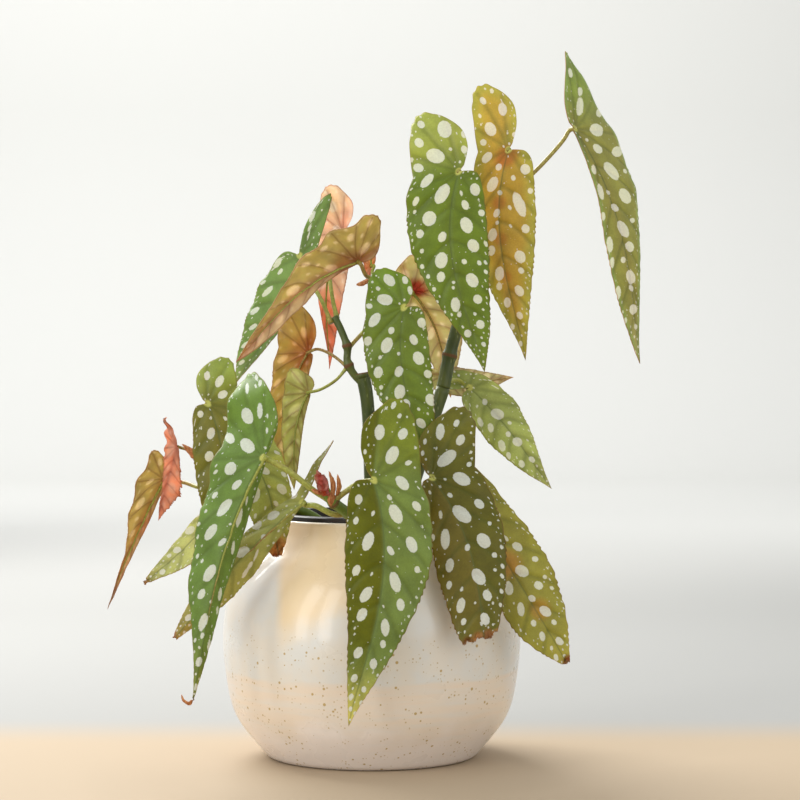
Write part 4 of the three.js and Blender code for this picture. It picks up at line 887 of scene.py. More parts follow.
def build_blade(name, upper_face, underside):
    """A leaf blade: laid flat, measured and spotted, bent to its place, and given its thickness."""
    look = PLAIN_LOOK | LOOKS[name]
    leaf = PLAIN_LEAF | LEAVES[name] | look["own"]
    sizes = bpy.context.scene.begonia_sizes
    seed = sum(map(ord, name))
    rng = np.random.default_rng(seed)
    *_, up, length = leaf_frame(leaf)
    bm, veins = flat_blade(leaf, look["tooth"], rng, 1 if name in FRONT_LEAVES else 2)
    margin = [vert.co.copy() for vert in bm.verts if vert.is_boundary and vert.co.length > 2]
    materials = [underside if look["bare"] else upper_face, underside]
    piece = add_piece(bm, name + "_blade", materials, [name])
    mesh = piece.data
    places = np.empty(len(mesh.vertices) * 3, np.float32)
    mesh.vertices.foreach_get("co", places)
    places = places.reshape(-1, 3) / MM
    flat = places[:, :2].astype(float)
    edge = nearest(tree_of(margin), places)
    vein = nearest(tree_of([Vector(point) for line in veins for point in line]), places)
    rib = np.where(flat[:, 0] > -1, np.abs(flat[:, 1]), np.hypot(flat[:, 0], flat[:, 1]))
    spot = grow_spots(leaf, name, flat, edge, rib, veins, rng)
    upper, under, dry = tints(leaf, look, flat, edge)
    lift = relief(flat, length, sizes.quilting / MM, look["crumple"], edge, vein, rib)
    lift += dry * DRY_LIFT * wander(flat, 0.5, 3)
    shift = dry * DRY_SHIFT * wander(flat, 0.45, 9)
    bent = on_leaf(leaf, (flat[:, 0] + shift) / length, flat[:, 1] / length, lift)
    mesh.vertices.foreach_set("co", (bent * MM).astype(np.float32).ravel())
    mesh.update()
    # Every 37th face is asked which way the upper face looks.
    way = sum((np.array(polygon.normal) for polygon in list(mesh.polygons)[::37]), np.zeros(3))
    if way.dot(up) < 0:
        mesh.flip_normals()
    one = np.ones((len(flat), 1))
    set_attribute(mesh, "flat", "FLOAT_VECTOR", np.hstack([flat, one * (seed % 97)]))
    for label, values in {"spot": spot, "vein": vein, "rib": rib, "edge": edge, "dry": dry}.items():
        set_attribute(mesh, label, "FLOAT", values)
    set_attribute(mesh, "upper", "FLOAT_COLOR", np.hstack([upper, one]))
    set_attribute(mesh, "under", "FLOAT_COLOR", np.hstack([under, one]))
    thick = piece.modifiers.new("leaf thickness", "SOLIDIFY")
    thick.thickness = sizes.leaf_thickness
    thick.offset = 0
    thick.material_offset = 1
    thick.material_offset_rim = 1


def midrib_of(name, length):
    """Points along the midrib of a built blade, in mm, from the petiole to near the tip."""
    mesh = bpy.data.meshes[name + "_blade"]
    flat = np.empty(len(mesh.vertices) * 3, np.float32)
    places = flat.copy()
    mesh.attributes["flat"].data.foreach_get("vector", flat)
    mesh.vertices.foreach_get("co", places)
    flat, places = flat.reshape(-1, 3), places.reshape(-1, 3) / MM
    on_rib = np.nonzero((np.abs(flat[:, 1]) < 0.005) & (flat[:, 0] > 0.5) & (flat[:, 0] < 0.93 * length))[0]
    order = on_rib[np.argsort(flat[on_rib, 0])]
    return places[order[::2]].astype(float)


STALK_SIDES = 14
RIB_SIDES = 8
RIB_SHARE = 0.6  # the midrib's radius to the petiole's, where it starts


def build_petiole(name, material):
    """A leaf's stalk, swollen where it leaves the cane and where it meets the blade, and its midrib,
    which is sunk into the underside of the blade and thins out towards the tip."""
    leaf = PLAIN_LEAF | LEAVES[name]
    look = PLAIN_LOOK | LOOKS[name]
    radius = (leaf | look["own"])["radius"]
    attach, _, _, up, length = leaf_frame(leaf)
    before = attach - STALK_BEND * up
    path = smooth_path([Vector(point) for point in (*leaf["stalk"], before, attach - 0.2 * up)], 8)
    run = lengths_along(path)
    radii = []
    for s in run:
        foot = math.exp(-((s / 4) ** 2))
        head = math.exp(-(((run[-1] - s) / 3) ** 2))
        radii.append(radius * (0.86 + 0.35 * foot + 0.2 * head))
    bm = bmesh.new()
    sweep(bm, path, radii, STALK_SIDES)
    line = midrib_of(name, length)
    thin = [0.1 + RIB_SHARE * radius * (1 - k / len(line)) for k in range(len(line))]
    sunk = [Vector(point - up * (0.2 + 0.7 * half)) for point, half in zip(line, thin)]
    sweep(bm, sunk, thin, RIB_SIDES)
    bmesh.ops.recalc_face_normals(bm, faces=bm.faces)
    piece = add_piece(bm, name + "_petiole", [material], [name])
    set_attribute(piece.data, "flush", "FLOAT", np.full(len(piece.data.vertices), look["flush"]))


# ---- Canes ----
JOINT_REACH = 2.2  # mm to each side of a leaf joint that it swells
JOINT_SWELL = 0.9  # mm that it swells
SCAR_REACH = 1.5  # mm to each side that its brown scar covers
STUB_RADII = (4.3, 4.6, 4.7, 3.9)
CANE_SIDES = 24
STIPULE_SIDES = 16
CREASE_SEED = 4


def build_cane(name, cane, materials):
    """A cane of green internodes with a swollen ring and a brown scar at every leaf joint."""
    bm = bmesh.new()
    scar = bm.verts.layers.float.new("scar")
    young = bm.verts.layers.float.new("young")
    rings = [Vector(ring) for ring in cane["rings"]]
    for number, (radius, *points) in enumerate(cane["bars"]):
        path = smooth_path([Vector(point) for point in points], 14)
        radii = []
        marks = []
        for s, point in zip(lengths_along(path), path):
            swell, mark = (
                min(1, sum(math.exp(-(((point - ring).length / reach) ** 2)) for ring in rings))
                for reach in (JOINT_REACH, SCAR_REACH)
            )
            waist = 0.04 * math.sin(s * 0.11 + number)
            radii.append(radius * (1 + waist) + swell * JOINT_SWELL)
            marks.append(mark)
        for ring, mark in zip(sweep(bm, path, radii, CANE_SIDES), marks):
            for vert in ring:
                vert[scar] = mark
    if "stub" in cane:
        foot, top = (Vector(point) for point in cane["stub"])
        lip = top + (top - foot).normalized() * 0.05
        rows = sweep(bm, [foot, (foot + top) / 2, top, lip], STUB_RADII, CANE_SIDES)
        for ring in rows[2:]:
            for vert in ring:
                vert[scar] = 1
    for vert in bm.verts:
        vert[young] = cane.get("young", False)
    bmesh.ops.recalc_face_normals(bm, faces=bm.faces)
    add_piece(bm, name + "_stem", materials, [name])


def build_stipule(name, cane, stipule, material):
    """The dry, papery scale that a young leaf came out of: a flat, creased spindle."""
    radius, *points = stipule
    path = smooth_path([Vector(point) for point in points], 10)
    last = len(path) - 1
    radii = []
    for k in range(last + 1):
        share = 0.12 + 0.88 * k / last
        radii.append(0.15 + radius * 1.5 * math.sin(math.pi * share) ** 0.8)
    bm = bmesh.new()
    sweep(bm, path, radii, STIPULE_SIDES, flat=0.5)
    # Without a seed noise_vector would crease the scale in another way at every run.
    noise.seed_set(CREASE_SEED)
    for vert in bm.verts:
        vert.co += 0.35 * noise.noise_vector(vert.co * 0.5)
    bmesh.ops.recalc_face_normals(bm, faces=bm.faces)
    add_piece(bm, name, [material], [cane])


# ---- Materials ----
def add_node(tree, kind, *inputs, out=0, **settings):
    """Adds a node with its settings and gives one of its outputs. The inputs come in order, or as one
    table by name or number, and each is a value or the output that it is linked from."""
    node = tree.nodes.new("ShaderNode" + kind)
    for name, value in settings.items():
        setattr(node, name, value)
    named = inputs[0] if inputs and isinstance(inputs[0], dict) else dict(enumerate(inputs))
    for name, value in named.items():
        if isinstance(value, bpy.types.NodeSocket):
            tree.links.new(value, node.inputs[name])
        else:
            node.inputs[name].default_value = value
    return node.outputs[out] if node.outputs else None


# Settings that many nodes share: a smooth MapRange, and a Mix of colours 6 and 7 by factor 0.
SMOOTH = {"interpolation_type": "SMOOTHSTEP"}
BLEND = {"data_type": "RGBA", "out": 2}


def spaced(spacing):
    """A pattern's scale on Object coordinates, which are in metres, from its spacing in millimetres. The
    flat attribute of a blade is in millimetres itself, and there the scale is 1 / spacing."""
    return 1 / (spacing * MM)


def new_material(name):
    """A new material, and add_node bound to its tree."""
    material = bpy.data.materials.new(name)
    material.use_nodes = True
    material.node_tree.nodes.clear()
    return material, partial(add_node, material.node_tree)


def finish_leaf(add, colour, through, share, rough, bump):
    """A leaf blade: a waxy skin over tissue that lets some light through."""
    skin = add(
        "BsdfPrincipled",
        {"Base Color": colour, "Roughness": rough, "IOR": 1.4, "Specular IOR Level": 0.35, "Normal": bump},
    )
    tissue = add("BsdfTranslucent", {"Color": through, "Normal": bump})
    both = add("MixShader", share, skin, tissue)
    add("OutputMaterial", both)


def leaf_upper(colours):
    """Begonia leaf, upper face: waxy green skin with a little sheen, puffed between sunken veins with painted
    shade along them, silvery cream spots that are paler and duller than the green, and a fine reddish rim."""
    material, add = new_material("begonia_leaf_upper")
    flat = add("Attribute", attribute_name="flat", out="Vector")
    # Soft blotches of 11 mm, and the grain of the tissue.
    mottle = add("TexNoise", {"Vector": flat, "Scale": 1 / 11.11, "Detail": 3})
    tissue = add("TexNoise", {"Vector": flat, "Scale": 1 / 0.909, "Detail": 2})
    value = add(
        "Math", add("MapRange", mottle, 0.25, 0.75, 0.84, 1.12, **SMOOTH),
        add("MapRange", tissue, 0.2, 0.8, -0.07, 0.07, **SMOOTH), operation="ADD",
    )
    green = add(
        "HueSaturation", {"Value": value, "Color": add("Attribute", attribute_name="upper", out="Color")},
    )
    vein = add("Attribute", attribute_name="vein", out="Fac")
    rib = add("Attribute", attribute_name="rib", out="Fac")
    edge = add("Attribute", attribute_name="edge", out="Fac")
    # Painted shade: within 2.4 mm of a side vein the green is darkened, as if its furrow lay in shadow.
    green = add(
        "Mix", {0: add("MapRange", vein, 2.4, 0.2, 0, 0.26, **SMOOTH), 6: green, 7: rgba(colours.painted_vein_shade)},
        **BLEND,
    )
    green = add(
        "Mix", {0: add("MapRange", rib, 0.75, 0.2, 0, 0.45, **SMOOTH), 6: green, 7: rgba(colours.midrib)},
        **BLEND,
    )
    # The tiny dots: a cell every 3 mm, about half of them with a dot up to 1 mm across.
    cells = add("TexVoronoi", {"Vector": flat, "Scale": 1 / 2.94, "Randomness": 1.0}, voronoi_dimensions="3D")
    chance = add("SeparateColor", cells.node.outputs["Color"])
    size = add("Math", add("Math", chance, 0.26, operation="MULTIPLY"), 0.1, operation="SUBTRACT")
    dots = add("MapRange", add("Math", cells, size, operation="SUBTRACT"), 0.05, -0.04, **SMOOTH)
    fray = add("TexNoise", {"Vector": flat, "Scale": 1 / 1.25, "Detail": 2})
    fray = add("Math", add("Math", fray, 0.5, operation="SUBTRACT"), 0.7, operation="MULTIPLY")
    spots = add(
        "MapRange", add("Math", add("Attribute", attribute_name="spot", out="Fac"), fray, operation="ADD"),
        0.14, -0.2, **SMOOTH,
    )
    pale = add("Math", spots, add("Math", dots, 0.85, operation="MULTIPLY"), operation="MAXIMUM")
    pale = add(
        "Math", pale,
        add("MapRange", add("Attribute", attribute_name="dry", out="Fac"), 0.2, 0.6, 1, 0, **SMOOTH),
        operation="MULTIPLY",
    )
    cream = add(
        "HueSaturation",
        {"Value": add("MapRange", tissue, 0.25, 0.75, 0.92, 1.04, **SMOOTH), "Color": rgba(colours.spots)},
    )
    cream = add("Mix", {0: 0.12, 6: cream, 7: add("Attribute", attribute_name="upper", out="Color")}, **BLEND)
    colour = add("Mix", {0: pale, 6: green, 7: cream}, **BLEND)
    colour = add(
        "Mix", {0: add("MapRange", edge, 0.6, 0.15, 0, 0.4, **SMOOTH), 6: colour, 7: rgba(colours.rim)},
        **BLEND,
    )
    middle = add("VectorMath", flat, (1, 1, 0), operation="MULTIPLY")
    away = add("VectorMath", middle, operation="LENGTH", out=1)
    colour = add(
        "Mix", {0: add("MapRange", away, 2.8, 1.5, **SMOOTH), 6: colour, 7: rgba(colours.petiole_eye)},
        **BLEND,
    )
    # Light from behind shows the spots less than light from the front does.
    glow = add("Mix", {0: add("Math", pale, 0.75, operation="MULTIPLY"), 6: green, 7: cream}, **BLEND)
    through = add("HueSaturation", {"Saturation": 1.15, "Value": 1.1, "Color": glow})
    skin = add("TexVoronoi", {"Vector": flat, "Scale": 1 / 0.625}, feature="SMOOTH_F1")
    height = add("Math", skin, add("Math", spots, -0.4, operation="MULTIPLY"), operation="ADD")
    bump = add("Bump", {"Strength": 0.3, "Distance": 0.15 * MM, "Height": height})
    rough = add(
        "MapRange", add("Math", spots, add("Math", mottle, 0.3, operation="MULTIPLY"), operation="ADD"), 0,
        1.2, 0.36, 0.52, **SMOOTH,
    )
    finish_leaf(add, colour, through, 0.36, rough, bump)
    return material


def leaf_under(colours):
    """Begonia leaf, underside: matt and paler, tan to wine red, with raised red-brown veins and the
    spots only just showing through."""
    material, add = new_material("begonia_leaf_underside")
    flat = add("Attribute", attribute_name="flat", out="Vector")
    mottle = add("TexNoise", {"Vector": flat, "Scale": 1 / 10, "Detail": 3})
    value = add("MapRange", mottle, 0.25, 0.75, 0.84, 1.14, **SMOOTH)
    body = add(
        "HueSaturation", {"Value": value, "Color": add("Attribute", attribute_name="under", out="Color")},
    )
    vein = add("Attribute", attribute_name="vein", out="Fac")
    # Painted shade: a broad, faint darkening toward the vein red within 3.4 mm of the veins; the narrow mix
    # below is the veins' own red.
    body = add(
        "Mix", {0: add("MapRange", vein, 3.4, 0.1, 0, 0.13, **SMOOTH), 6: body, 7: rgba(colours.under_vein)},
        **BLEND,
    )
    body = add(
        "Mix", {0: add("MapRange", vein, 0.8, 0.25, 0, 0.28, **SMOOTH), 6: body, 7: rgba(colours.under_vein)},
        **BLEND,
    )
    spots = add("MapRange", add("Attribute", attribute_name="spot", out="Fac"), 0.6, -0.8, 0, 0.16, **SMOOTH)
    body = add("Mix", {0: spots, 6: body, 7: rgba(colours.spots)}, **BLEND)
    edge = add("Attribute", attribute_name="edge", out="Fac")
    body = add(
        "Mix", {0: add("MapRange", edge, 0.9, 0.2, 0, 0.5, **SMOOTH), 6: body, 7: rgba(colours.rim)}, **BLEND,
    )
    ridge = add("MapRange", vein, 0.9, 0.1, **SMOOTH)
    # The fine net of veins, with meshes of 2 mm.
    net = add("TexVoronoi", {"Vector": flat, "Scale": 1 / 1.818}, feature="DISTANCE_TO_EDGE")
    height = add("Math", ridge, add("MapRange", net, 0.12, 0, 0, 0.3, **SMOOTH), operation="ADD")
    bump = add("Bump", {"Strength": 0.5, "Distance": 0.35 * MM, "Height": height})
    through = add("HueSaturation", {"Saturation": 1.1, "Value": 1.35, "Color": body})
    finish_leaf(add, body, through, 0.55, 0.55, bump)
    return material


def petiole_skin(colours):
    """Young begonia stalk: smooth, juicy yellow-green skin, flushed with red-brown here and there."""
    material, add = new_material("begonia_petiole")
    place = add("TexCoord", out="Object")
    # The flush comes in patches of 36 mm.
    patches = add("TexNoise", {"Vector": place, "Scale": spaced(35.71), "Detail": 2})
    flush = add("MapRange", patches, 0.5, 0.68, 0, 0.75, **SMOOTH)
    flush = add("Math", flush, add("Attribute", attribute_name="flush", out="Fac"), operation="MAXIMUM")
    colour = add("Mix", {0: flush, 6: rgba(colours.petiole), 7: rgba(colours.petiole_flush)}, **BLEND)
    fine = add("TexNoise", {"Vector": place, "Scale": spaced(1.429), "Detail": 2})
    colour = add(
        "Mix",
        {0: add("MapRange", fine, 0.35, 0.75, 0, 0.3, **SMOOTH), 6: colour, 7: rgba(colours.petiole_eye)},
        **BLEND,
    )
    bump = add("Bump", {"Strength": 0.3, "Distance": 0.15 * MM, "Height": fine})
    skin = add(
        "BsdfPrincipled",
        {
            "Base Color": colour, "Roughness": 0.38, "IOR": 1.43, "Normal": bump, "Subsurface Weight": 0.15,
            "Subsurface Radius": (0.6, 0.8, 0.2), "Subsurface Scale": MM,
        },
    )
    add("OutputMaterial", skin)
    return material


def cane_skin(colours):
    """Old begonia cane: smooth dark green bark with pale specks, and a brown corky scar at each joint."""
    material, add = new_material("begonia_cane")
    place = add("TexCoord", out="Object")
    drawn = add("Mapping", {"Vector": place, "Scale": (1, 1, 0.35)})
    # Streaks 11 mm wide, drawn out three times along the cane.
    streaks = add("TexNoise", {"Vector": drawn, "Scale": spaced(11.11), "Detail": 3})
    tone = add("MapRange", streaks, 0.3, 0.7, **SMOOTH)
    colour = add("Mix", {0: tone, 6: rgba(colours.cane), 7: rgba(colours.cane_light)}, **BLEND)
    young = add("Math", add("Attribute", attribute_name="young", out="Fac"), 0.75, operation="MULTIPLY")
    colour = add("Mix", {0: young, 6: colour, 7: rgba(colours.cane_young)}, **BLEND)
    specks = add("TexVoronoi", {"Vector": drawn, "Scale": spaced(2.381)})
    colour = add(
        "Mix",
        {0: add("MapRange", specks, 0.22, 0.12, 0, 0.4, **SMOOTH), 6: colour, 7: rgba(colours.cane_speck)},
        **BLEND,
    )
    scar = add("Attribute", attribute_name="scar", out="Fac")
    rough_edge = add(
        "Math", scar,
        add("Math", add("TexNoise", {"Vector": place, "Scale": spaced(2)}), 0.3, operation="MULTIPLY"),
        operation="ADD",
    )
    colour = add(
        "Mix",
        {0: add("MapRange", rough_edge, 0.5, 1.0, 0, 0.85, **SMOOTH), 6: colour, 7: rgba(colours.cane_scar)},
        **BLEND,
    )
    height = add(
        "Math", add("TexNoise", {"Vector": drawn, "Scale": spaced(1.667), "Detail": 3}),
        add("Math", specks, 0.4, operation="MULTIPLY"), operation="ADD",
    )
    bump = add("Bump", {"Strength": 0.4, "Distance": 0.3 * MM, "Height": height})
    skin = add(
        "BsdfPrincipled",
        {
            "Base Color": colour, "Roughness": add("MapRange", scar, 0.3, 0.9, 0.4, 0.75, **SMOOTH),
            "IOR": 1.45, "Normal": bump,
        },
    )
    add("OutputMaterial", skin)
    return material


def dry_scale(colours):
    """Dried stipule: thin papery tissue, orange-brown with darker lengthwise fibres, and quite matt."""
    material, add = new_material("dried_stipule")
    place = add("TexCoord", out="Object")
    drawn = add("Mapping", {"Vector": place, "Scale": (1, 1, 0.3)})
    fibres = add("TexNoise", {"Vector": drawn, "Scale": spaced(1.111), "Detail": 3})
    colour = add(
        "Mix",
        {
            0: add("MapRange", fibres, 0.35, 0.65, **SMOOTH), 6: rgba(colours.stipule),
            7: rgba(colours.stipule_dark),
        },
        **BLEND,
    )
    bump = add("Bump", {"Strength": 0.7, "Distance": 0.4 * MM, "Height": fibres})
    skin = add("BsdfPrincipled", {"Base Color": colour, "Roughness": 0.7, "IOR": 1.45, "Normal": bump})
    glow = add("BsdfTranslucent", {"Color": colour})
    both = add("MixShader", 0.2, skin, glow)
    add("OutputMaterial", both)
    return material


# Three sizes of iron speck in the glaze: the spacing in mm, the reach to it, and how strong they show.
IRON_SPECKS = ((5.263, 0.17, 0.9), (3.333, 0.24, 0.85), (2.083, 0.26, 0.6))


def stoneware_glaze(colours):
    """Hand-thrown stoneware under a glossy cream glaze: cool white, with a painted warm reflection of a
    table low down and a painted golden pool of light on the front left, iron specks, faint throwing rings and
    soft dimples."""
    material, add = new_material("stoneware_glaze")
    place = add("TexCoord", out="Object")
    axes = add("SeparateXYZ", place).node.outputs
    cloud = add("TexNoise", {"Vector": place, "Scale": spaced(38.46), "Detail": 4})
    drift = add("Math", add("Math", cloud, 0.5, operation="SUBTRACT"), 0.05, operation="MULTIPLY")
    height = add("Math", axes[2], drift, operation="ADD")
    patches = add("TexNoise", {"Vector": place, "Scale": spaced(16.67), "Detail": 3})
    tone = add("MapRange", patches, 0.3, 0.7, **SMOOTH)
    colour = add("Mix", {0: tone, 6: rgba(colours.glaze), 7: rgba(colours.glaze_cool)}, **BLEND)
    # Painted warm reflection of a wooden table: tan below a level line at 55 mm, with horizontal streaks.
    level = add(
        "Math", axes[2],
        add("Math", add("Math", cloud, 0.5, operation="SUBTRACT"), 0.006, operation="MULTIPLY"),
        operation="ADD",
    )
    flown = add("Mapping", {"Vector": place, "Scale": (1, 1, 14)})
    streaks = add("TexNoise", {"Vector": flown, "Scale": spaced(45.45), "Detail": 4})
    streaks = add("MapRange", streaks, 0.3, 0.7, 0.45, 0.85, **SMOOTH)
    low = add("Math", add("MapRange", level, 0.056, 0.053, **SMOOTH), streaks, operation="MULTIPLY")
    colour = add("Mix", {0: low, 6: colour, 7: rgba(colours.painted_table_reflection)}, **BLEND)
    foot = add("MapRange", height, 0.036, 0.012, 0, 0.7, **SMOOTH)
    colour = add("Mix", {0: foot, 6: colour, 7: rgba(colours.glaze_foot)}, **BLEND)
    # A painted golden pool of light to the left of the middle, from the rim down to the belly.
    left = add("MapRange", axes[0], -0.058, -0.05, **SMOOTH)
    right = add("MapRange", axes[0], 0.03, -0.03, **SMOOTH)
    front = add("MapRange", axes[1], 0.0, -0.03, **SMOOTH)
    tall = add(
        "Math", add("MapRange", height, 0.075, 0.1, **SMOOTH),
        add("MapRange", axes[2], 0.149, 0.144, **SMOOTH), operation="MULTIPLY",
    )
    painted_light_pool = add(
        "Math", add("Math", left, right, operation="MULTIPLY"),
        add("Math", front, tall, operation="MULTIPLY"), operation="MULTIPLY",
    )
    colour = add(
        "Mix", {0: add("Math", painted_light_pool, 0.8, operation="MULTIPLY"), 6: colour, 7: rgba(colours.painted_golden_light)},
        **BLEND,
    )
    # Iron specks up to 2 mm across, in crowds and most of them on the lower half.
    crowd = add("TexNoise", {"Vector": place, "Scale": spaced(18.18), "Detail": 2})
    crowd = add("MapRange", crowd, 0.35, 0.6, -0.25, 0.1, **SMOOTH)
    for spacing, reach, share in IRON_SPECKS:
        cells = add("TexVoronoi", {"Vector": place, "Scale": spaced(spacing)})
        chance = add("SeparateColor", cells.node.outputs["Color"])
        likely = add(
            "Math", add("Math", chance, crowd, operation="ADD"),
            add("MapRange", axes[2], 0.1, 0.07, -0.4, 0, **SMOOTH), operation="ADD",
        )
        size = add("Math", add("Math", likely, 0.5, operation="SUBTRACT"), 2 * reach, operation="MULTIPLY")
        speck = add(
            "MapRange", add("Math", cells, size, operation="SUBTRACT"), 0.05, -0.05, 0, share, **SMOOTH,
        )
        colour = add("Mix", {0: speck, 6: colour, 7: rgba(colours.iron_speck)}, **BLEND)
    # A wave turns 20 radians in a unit of its scaled place. The throwing rings lie 6.5 mm apart.
    rings = add(
        "TexWave",
        {"Vector": place, "Scale": 2 * math.pi / 20 * spaced(6.545), "Distortion": 1.2, "Detail": 2.0},
        bands_direction="Z", out=1,
    )
    dimple = add("TexNoise", {"Vector": place, "Scale": spaced(7.692), "Detail": 3})
    dents = add("Math", add("Math", rings, 0.5, operation="MULTIPLY"), dimple, operation="ADD")
    bump = add("Bump", {"Strength": 0.2, "Distance": 0.18 * MM, "Height": dents})
    glaze = add(
        "BsdfPrincipled",
        {
            "Base Color": colour, "Roughness": add("MapRange", cloud, 0.3, 0.8, 0.26, 0.36, **SMOOTH),
            "IOR": 1.5, "Normal": bump, "Coat Weight": 0.4, "Coat Roughness": 0.06,
        },
    )
    add("OutputMaterial", glaze)
    return material


def nursery_plastic(colours):
    """Thin vacuum-formed black polypropylene: a soft satin sheen, faint ripples, and a film of dried
    soil on the inner wall."""
    material, add = new_material("nursery_polypropylene")
    place = add("TexCoord", out="Object")
    dust = add("TexNoise", {"Vector": place, "Scale": spaced(8.333), "Detail": 4})
    dust = add("MapRange", dust, 0.45, 0.75, 0, 0.5, **SMOOTH)
    colour = add("Mix", {0: dust, 6: rgba(colours.plastic), 7: rgba(colours.soil)}, **BLEND)
    fine = add("TexNoise", {"Vector": place, "Scale": spaced(1.111), "Detail": 2})
    bump = add("Bump", {"Strength": 0.25, "Distance": 0.2 * MM, "Height": fine})
    plastic = add(
        "BsdfPrincipled",
        {
            "Base Color": colour, "Roughness": add("MapRange", dust, 0, 0.5, 0.38, 0.7, **SMOOTH),
            "IOR": 1.49, "Normal": bump,
        },
    )
    add("OutputMaterial", plastic)
    return material


def potting_soil(colours):
    """Peat and bark compost: dark brown crumbs from fine to 4 mm, dry on top, wholly matt."""
    material, add = new_material("potting_soil")
    place = add("TexCoord", out="Object")
    crumbs = add("TexVoronoi", {"Vector": place, "Scale": spaced(2.857)})
    chance = add("SeparateColor", crumbs.node.outputs["Color"])
    colour = add("Mix", {0: chance, 6: rgba(colours.soil), 7: rgba(colours.bark)}, **BLEND)
    damp = add("TexNoise", {"Vector": place, "Scale": spaced(11.11), "Detail": 4})
    damp = add("MapRange", damp, 0.35, 0.65, **SMOOTH)
    colour = add("Mix", {0: damp, 6: colour, 7: rgba(colours.soil)}, **BLEND)
    grit = add("TexNoise", {"Vector": place, "Scale": spaced(2), "Detail": 4})
    height = add("Math", grit, crumbs, operation="SUBTRACT")
    bump = add("Bump", {"Strength": 0.9, "Distance": 1.2 * MM, "Height": height})
    soil = add("BsdfPrincipled", {"Base Color": colour, "Roughness": 0.95, "IOR": 1.4, "Normal": bump})
    add("OutputMaterial", soil)
    return material


def bark_chip(colours):
    """Composted pine bark: flaky red-brown chips with a paler, fibrous broken edge."""
    material, add = new_material("pine_bark_chip")
    place = add("TexCoord", out="Object")
    drawn = add("Mapping", {"Vector": place, "Scale": (1, 0.3, 1)})
    layers = add("TexNoise", {"Vector": drawn, "Scale": spaced(2), "Detail": 3})
    colour = add(
        "Mix",
        {0: add("MapRange", layers, 0.4, 0.7, **SMOOTH), 6: rgba(colours.bark), 7: rgba(colours.bark_edge)},
        **BLEND,
    )
    bump = add("Bump", {"Strength": 0.8, "Distance": 0.5 * MM, "Height": layers})
    bark = add("BsdfPrincipled", {"Base Color": colour, "Roughness": 0.85, "IOR": 1.45, "Normal": bump})
    add("OutputMaterial", bark)
    return material


def studio_paper(name, low, high):
    """Graduated backdrop paper: matt, from a warm pale floor to a white wall behind the pot, with painted
    light and shade over it.
    """
    material, add = new_material(name)
    place = add("TexCoord", out="Object")
    axes = add("SeparateXYZ", place).node.outputs
    colour = add(
        "Mix", {0: add("MapRange", axes[1], 0.04, 0.16, **SMOOTH), 6: rgba(low), 7: rgba(high)}, **BLEND,
    )
    # Painted light and shade that even out the lamps: the paper is darker to the left and up to 0.8 m behind
    # the pot, and brighter from there to 2.2 m back.
    shade = add(
        "Math", add("MapRange", axes[0], -0.5, 0.7, 0.85, 0.9, **SMOOTH),
        add("MapRange", axes[1], 0.8, 2.2, 0.8, 1.65, **SMOOTH), operation="MULTIPLY",
    )
    colour = add("HueSaturation", {"Value": shade, "Color": colour})
    tooth = add("TexNoise", {"Vector": place, "Scale": spaced(3.333), "Detail": 3})
    bump = add("Bump", {"Strength": 0.1, "Distance": 0.2 * MM, "Height": tooth})
    paper = add("BsdfPrincipled", {"Base Color": colour, "Roughness": 0.8, "Normal": bump})
    add("OutputMaterial", paper)
    return material


# ---- What a user may change ----
def colour_property(name, description, default):
    """A colour that a user may change, with its default as sRGB hex."""
    return bpy.props.FloatVectorProperty(
        name=name, description=description, default=linear(default), subtype="COLOR", min=0, max=1,
    )


class BegoniaSizes(bpy.types.PropertyGroup):
    """Sizes of the details that the CAD leaves to the dressing."""

    leaf_thickness: bpy.props.FloatProperty(
        name="Leaf thickness", description="Thickness of a leaf blade", default=0.5 * MM, unit="LENGTH",
    )
    quilting: bpy.props.FloatProperty(
        name="Quilting", description="How far a blade puffs up between its veins", default=0.5 * MM,
        unit="LENGTH",
    )
    pot_segments: bpy.props.IntProperty(
        name="Pot segments", description="Segments round the ceramic pot", default=160, min=32,
    )
    chips: bpy.props.IntProperty(
        name="Bark chips", description="Bark chips that lie on the soil", default=90, min=0,
    )


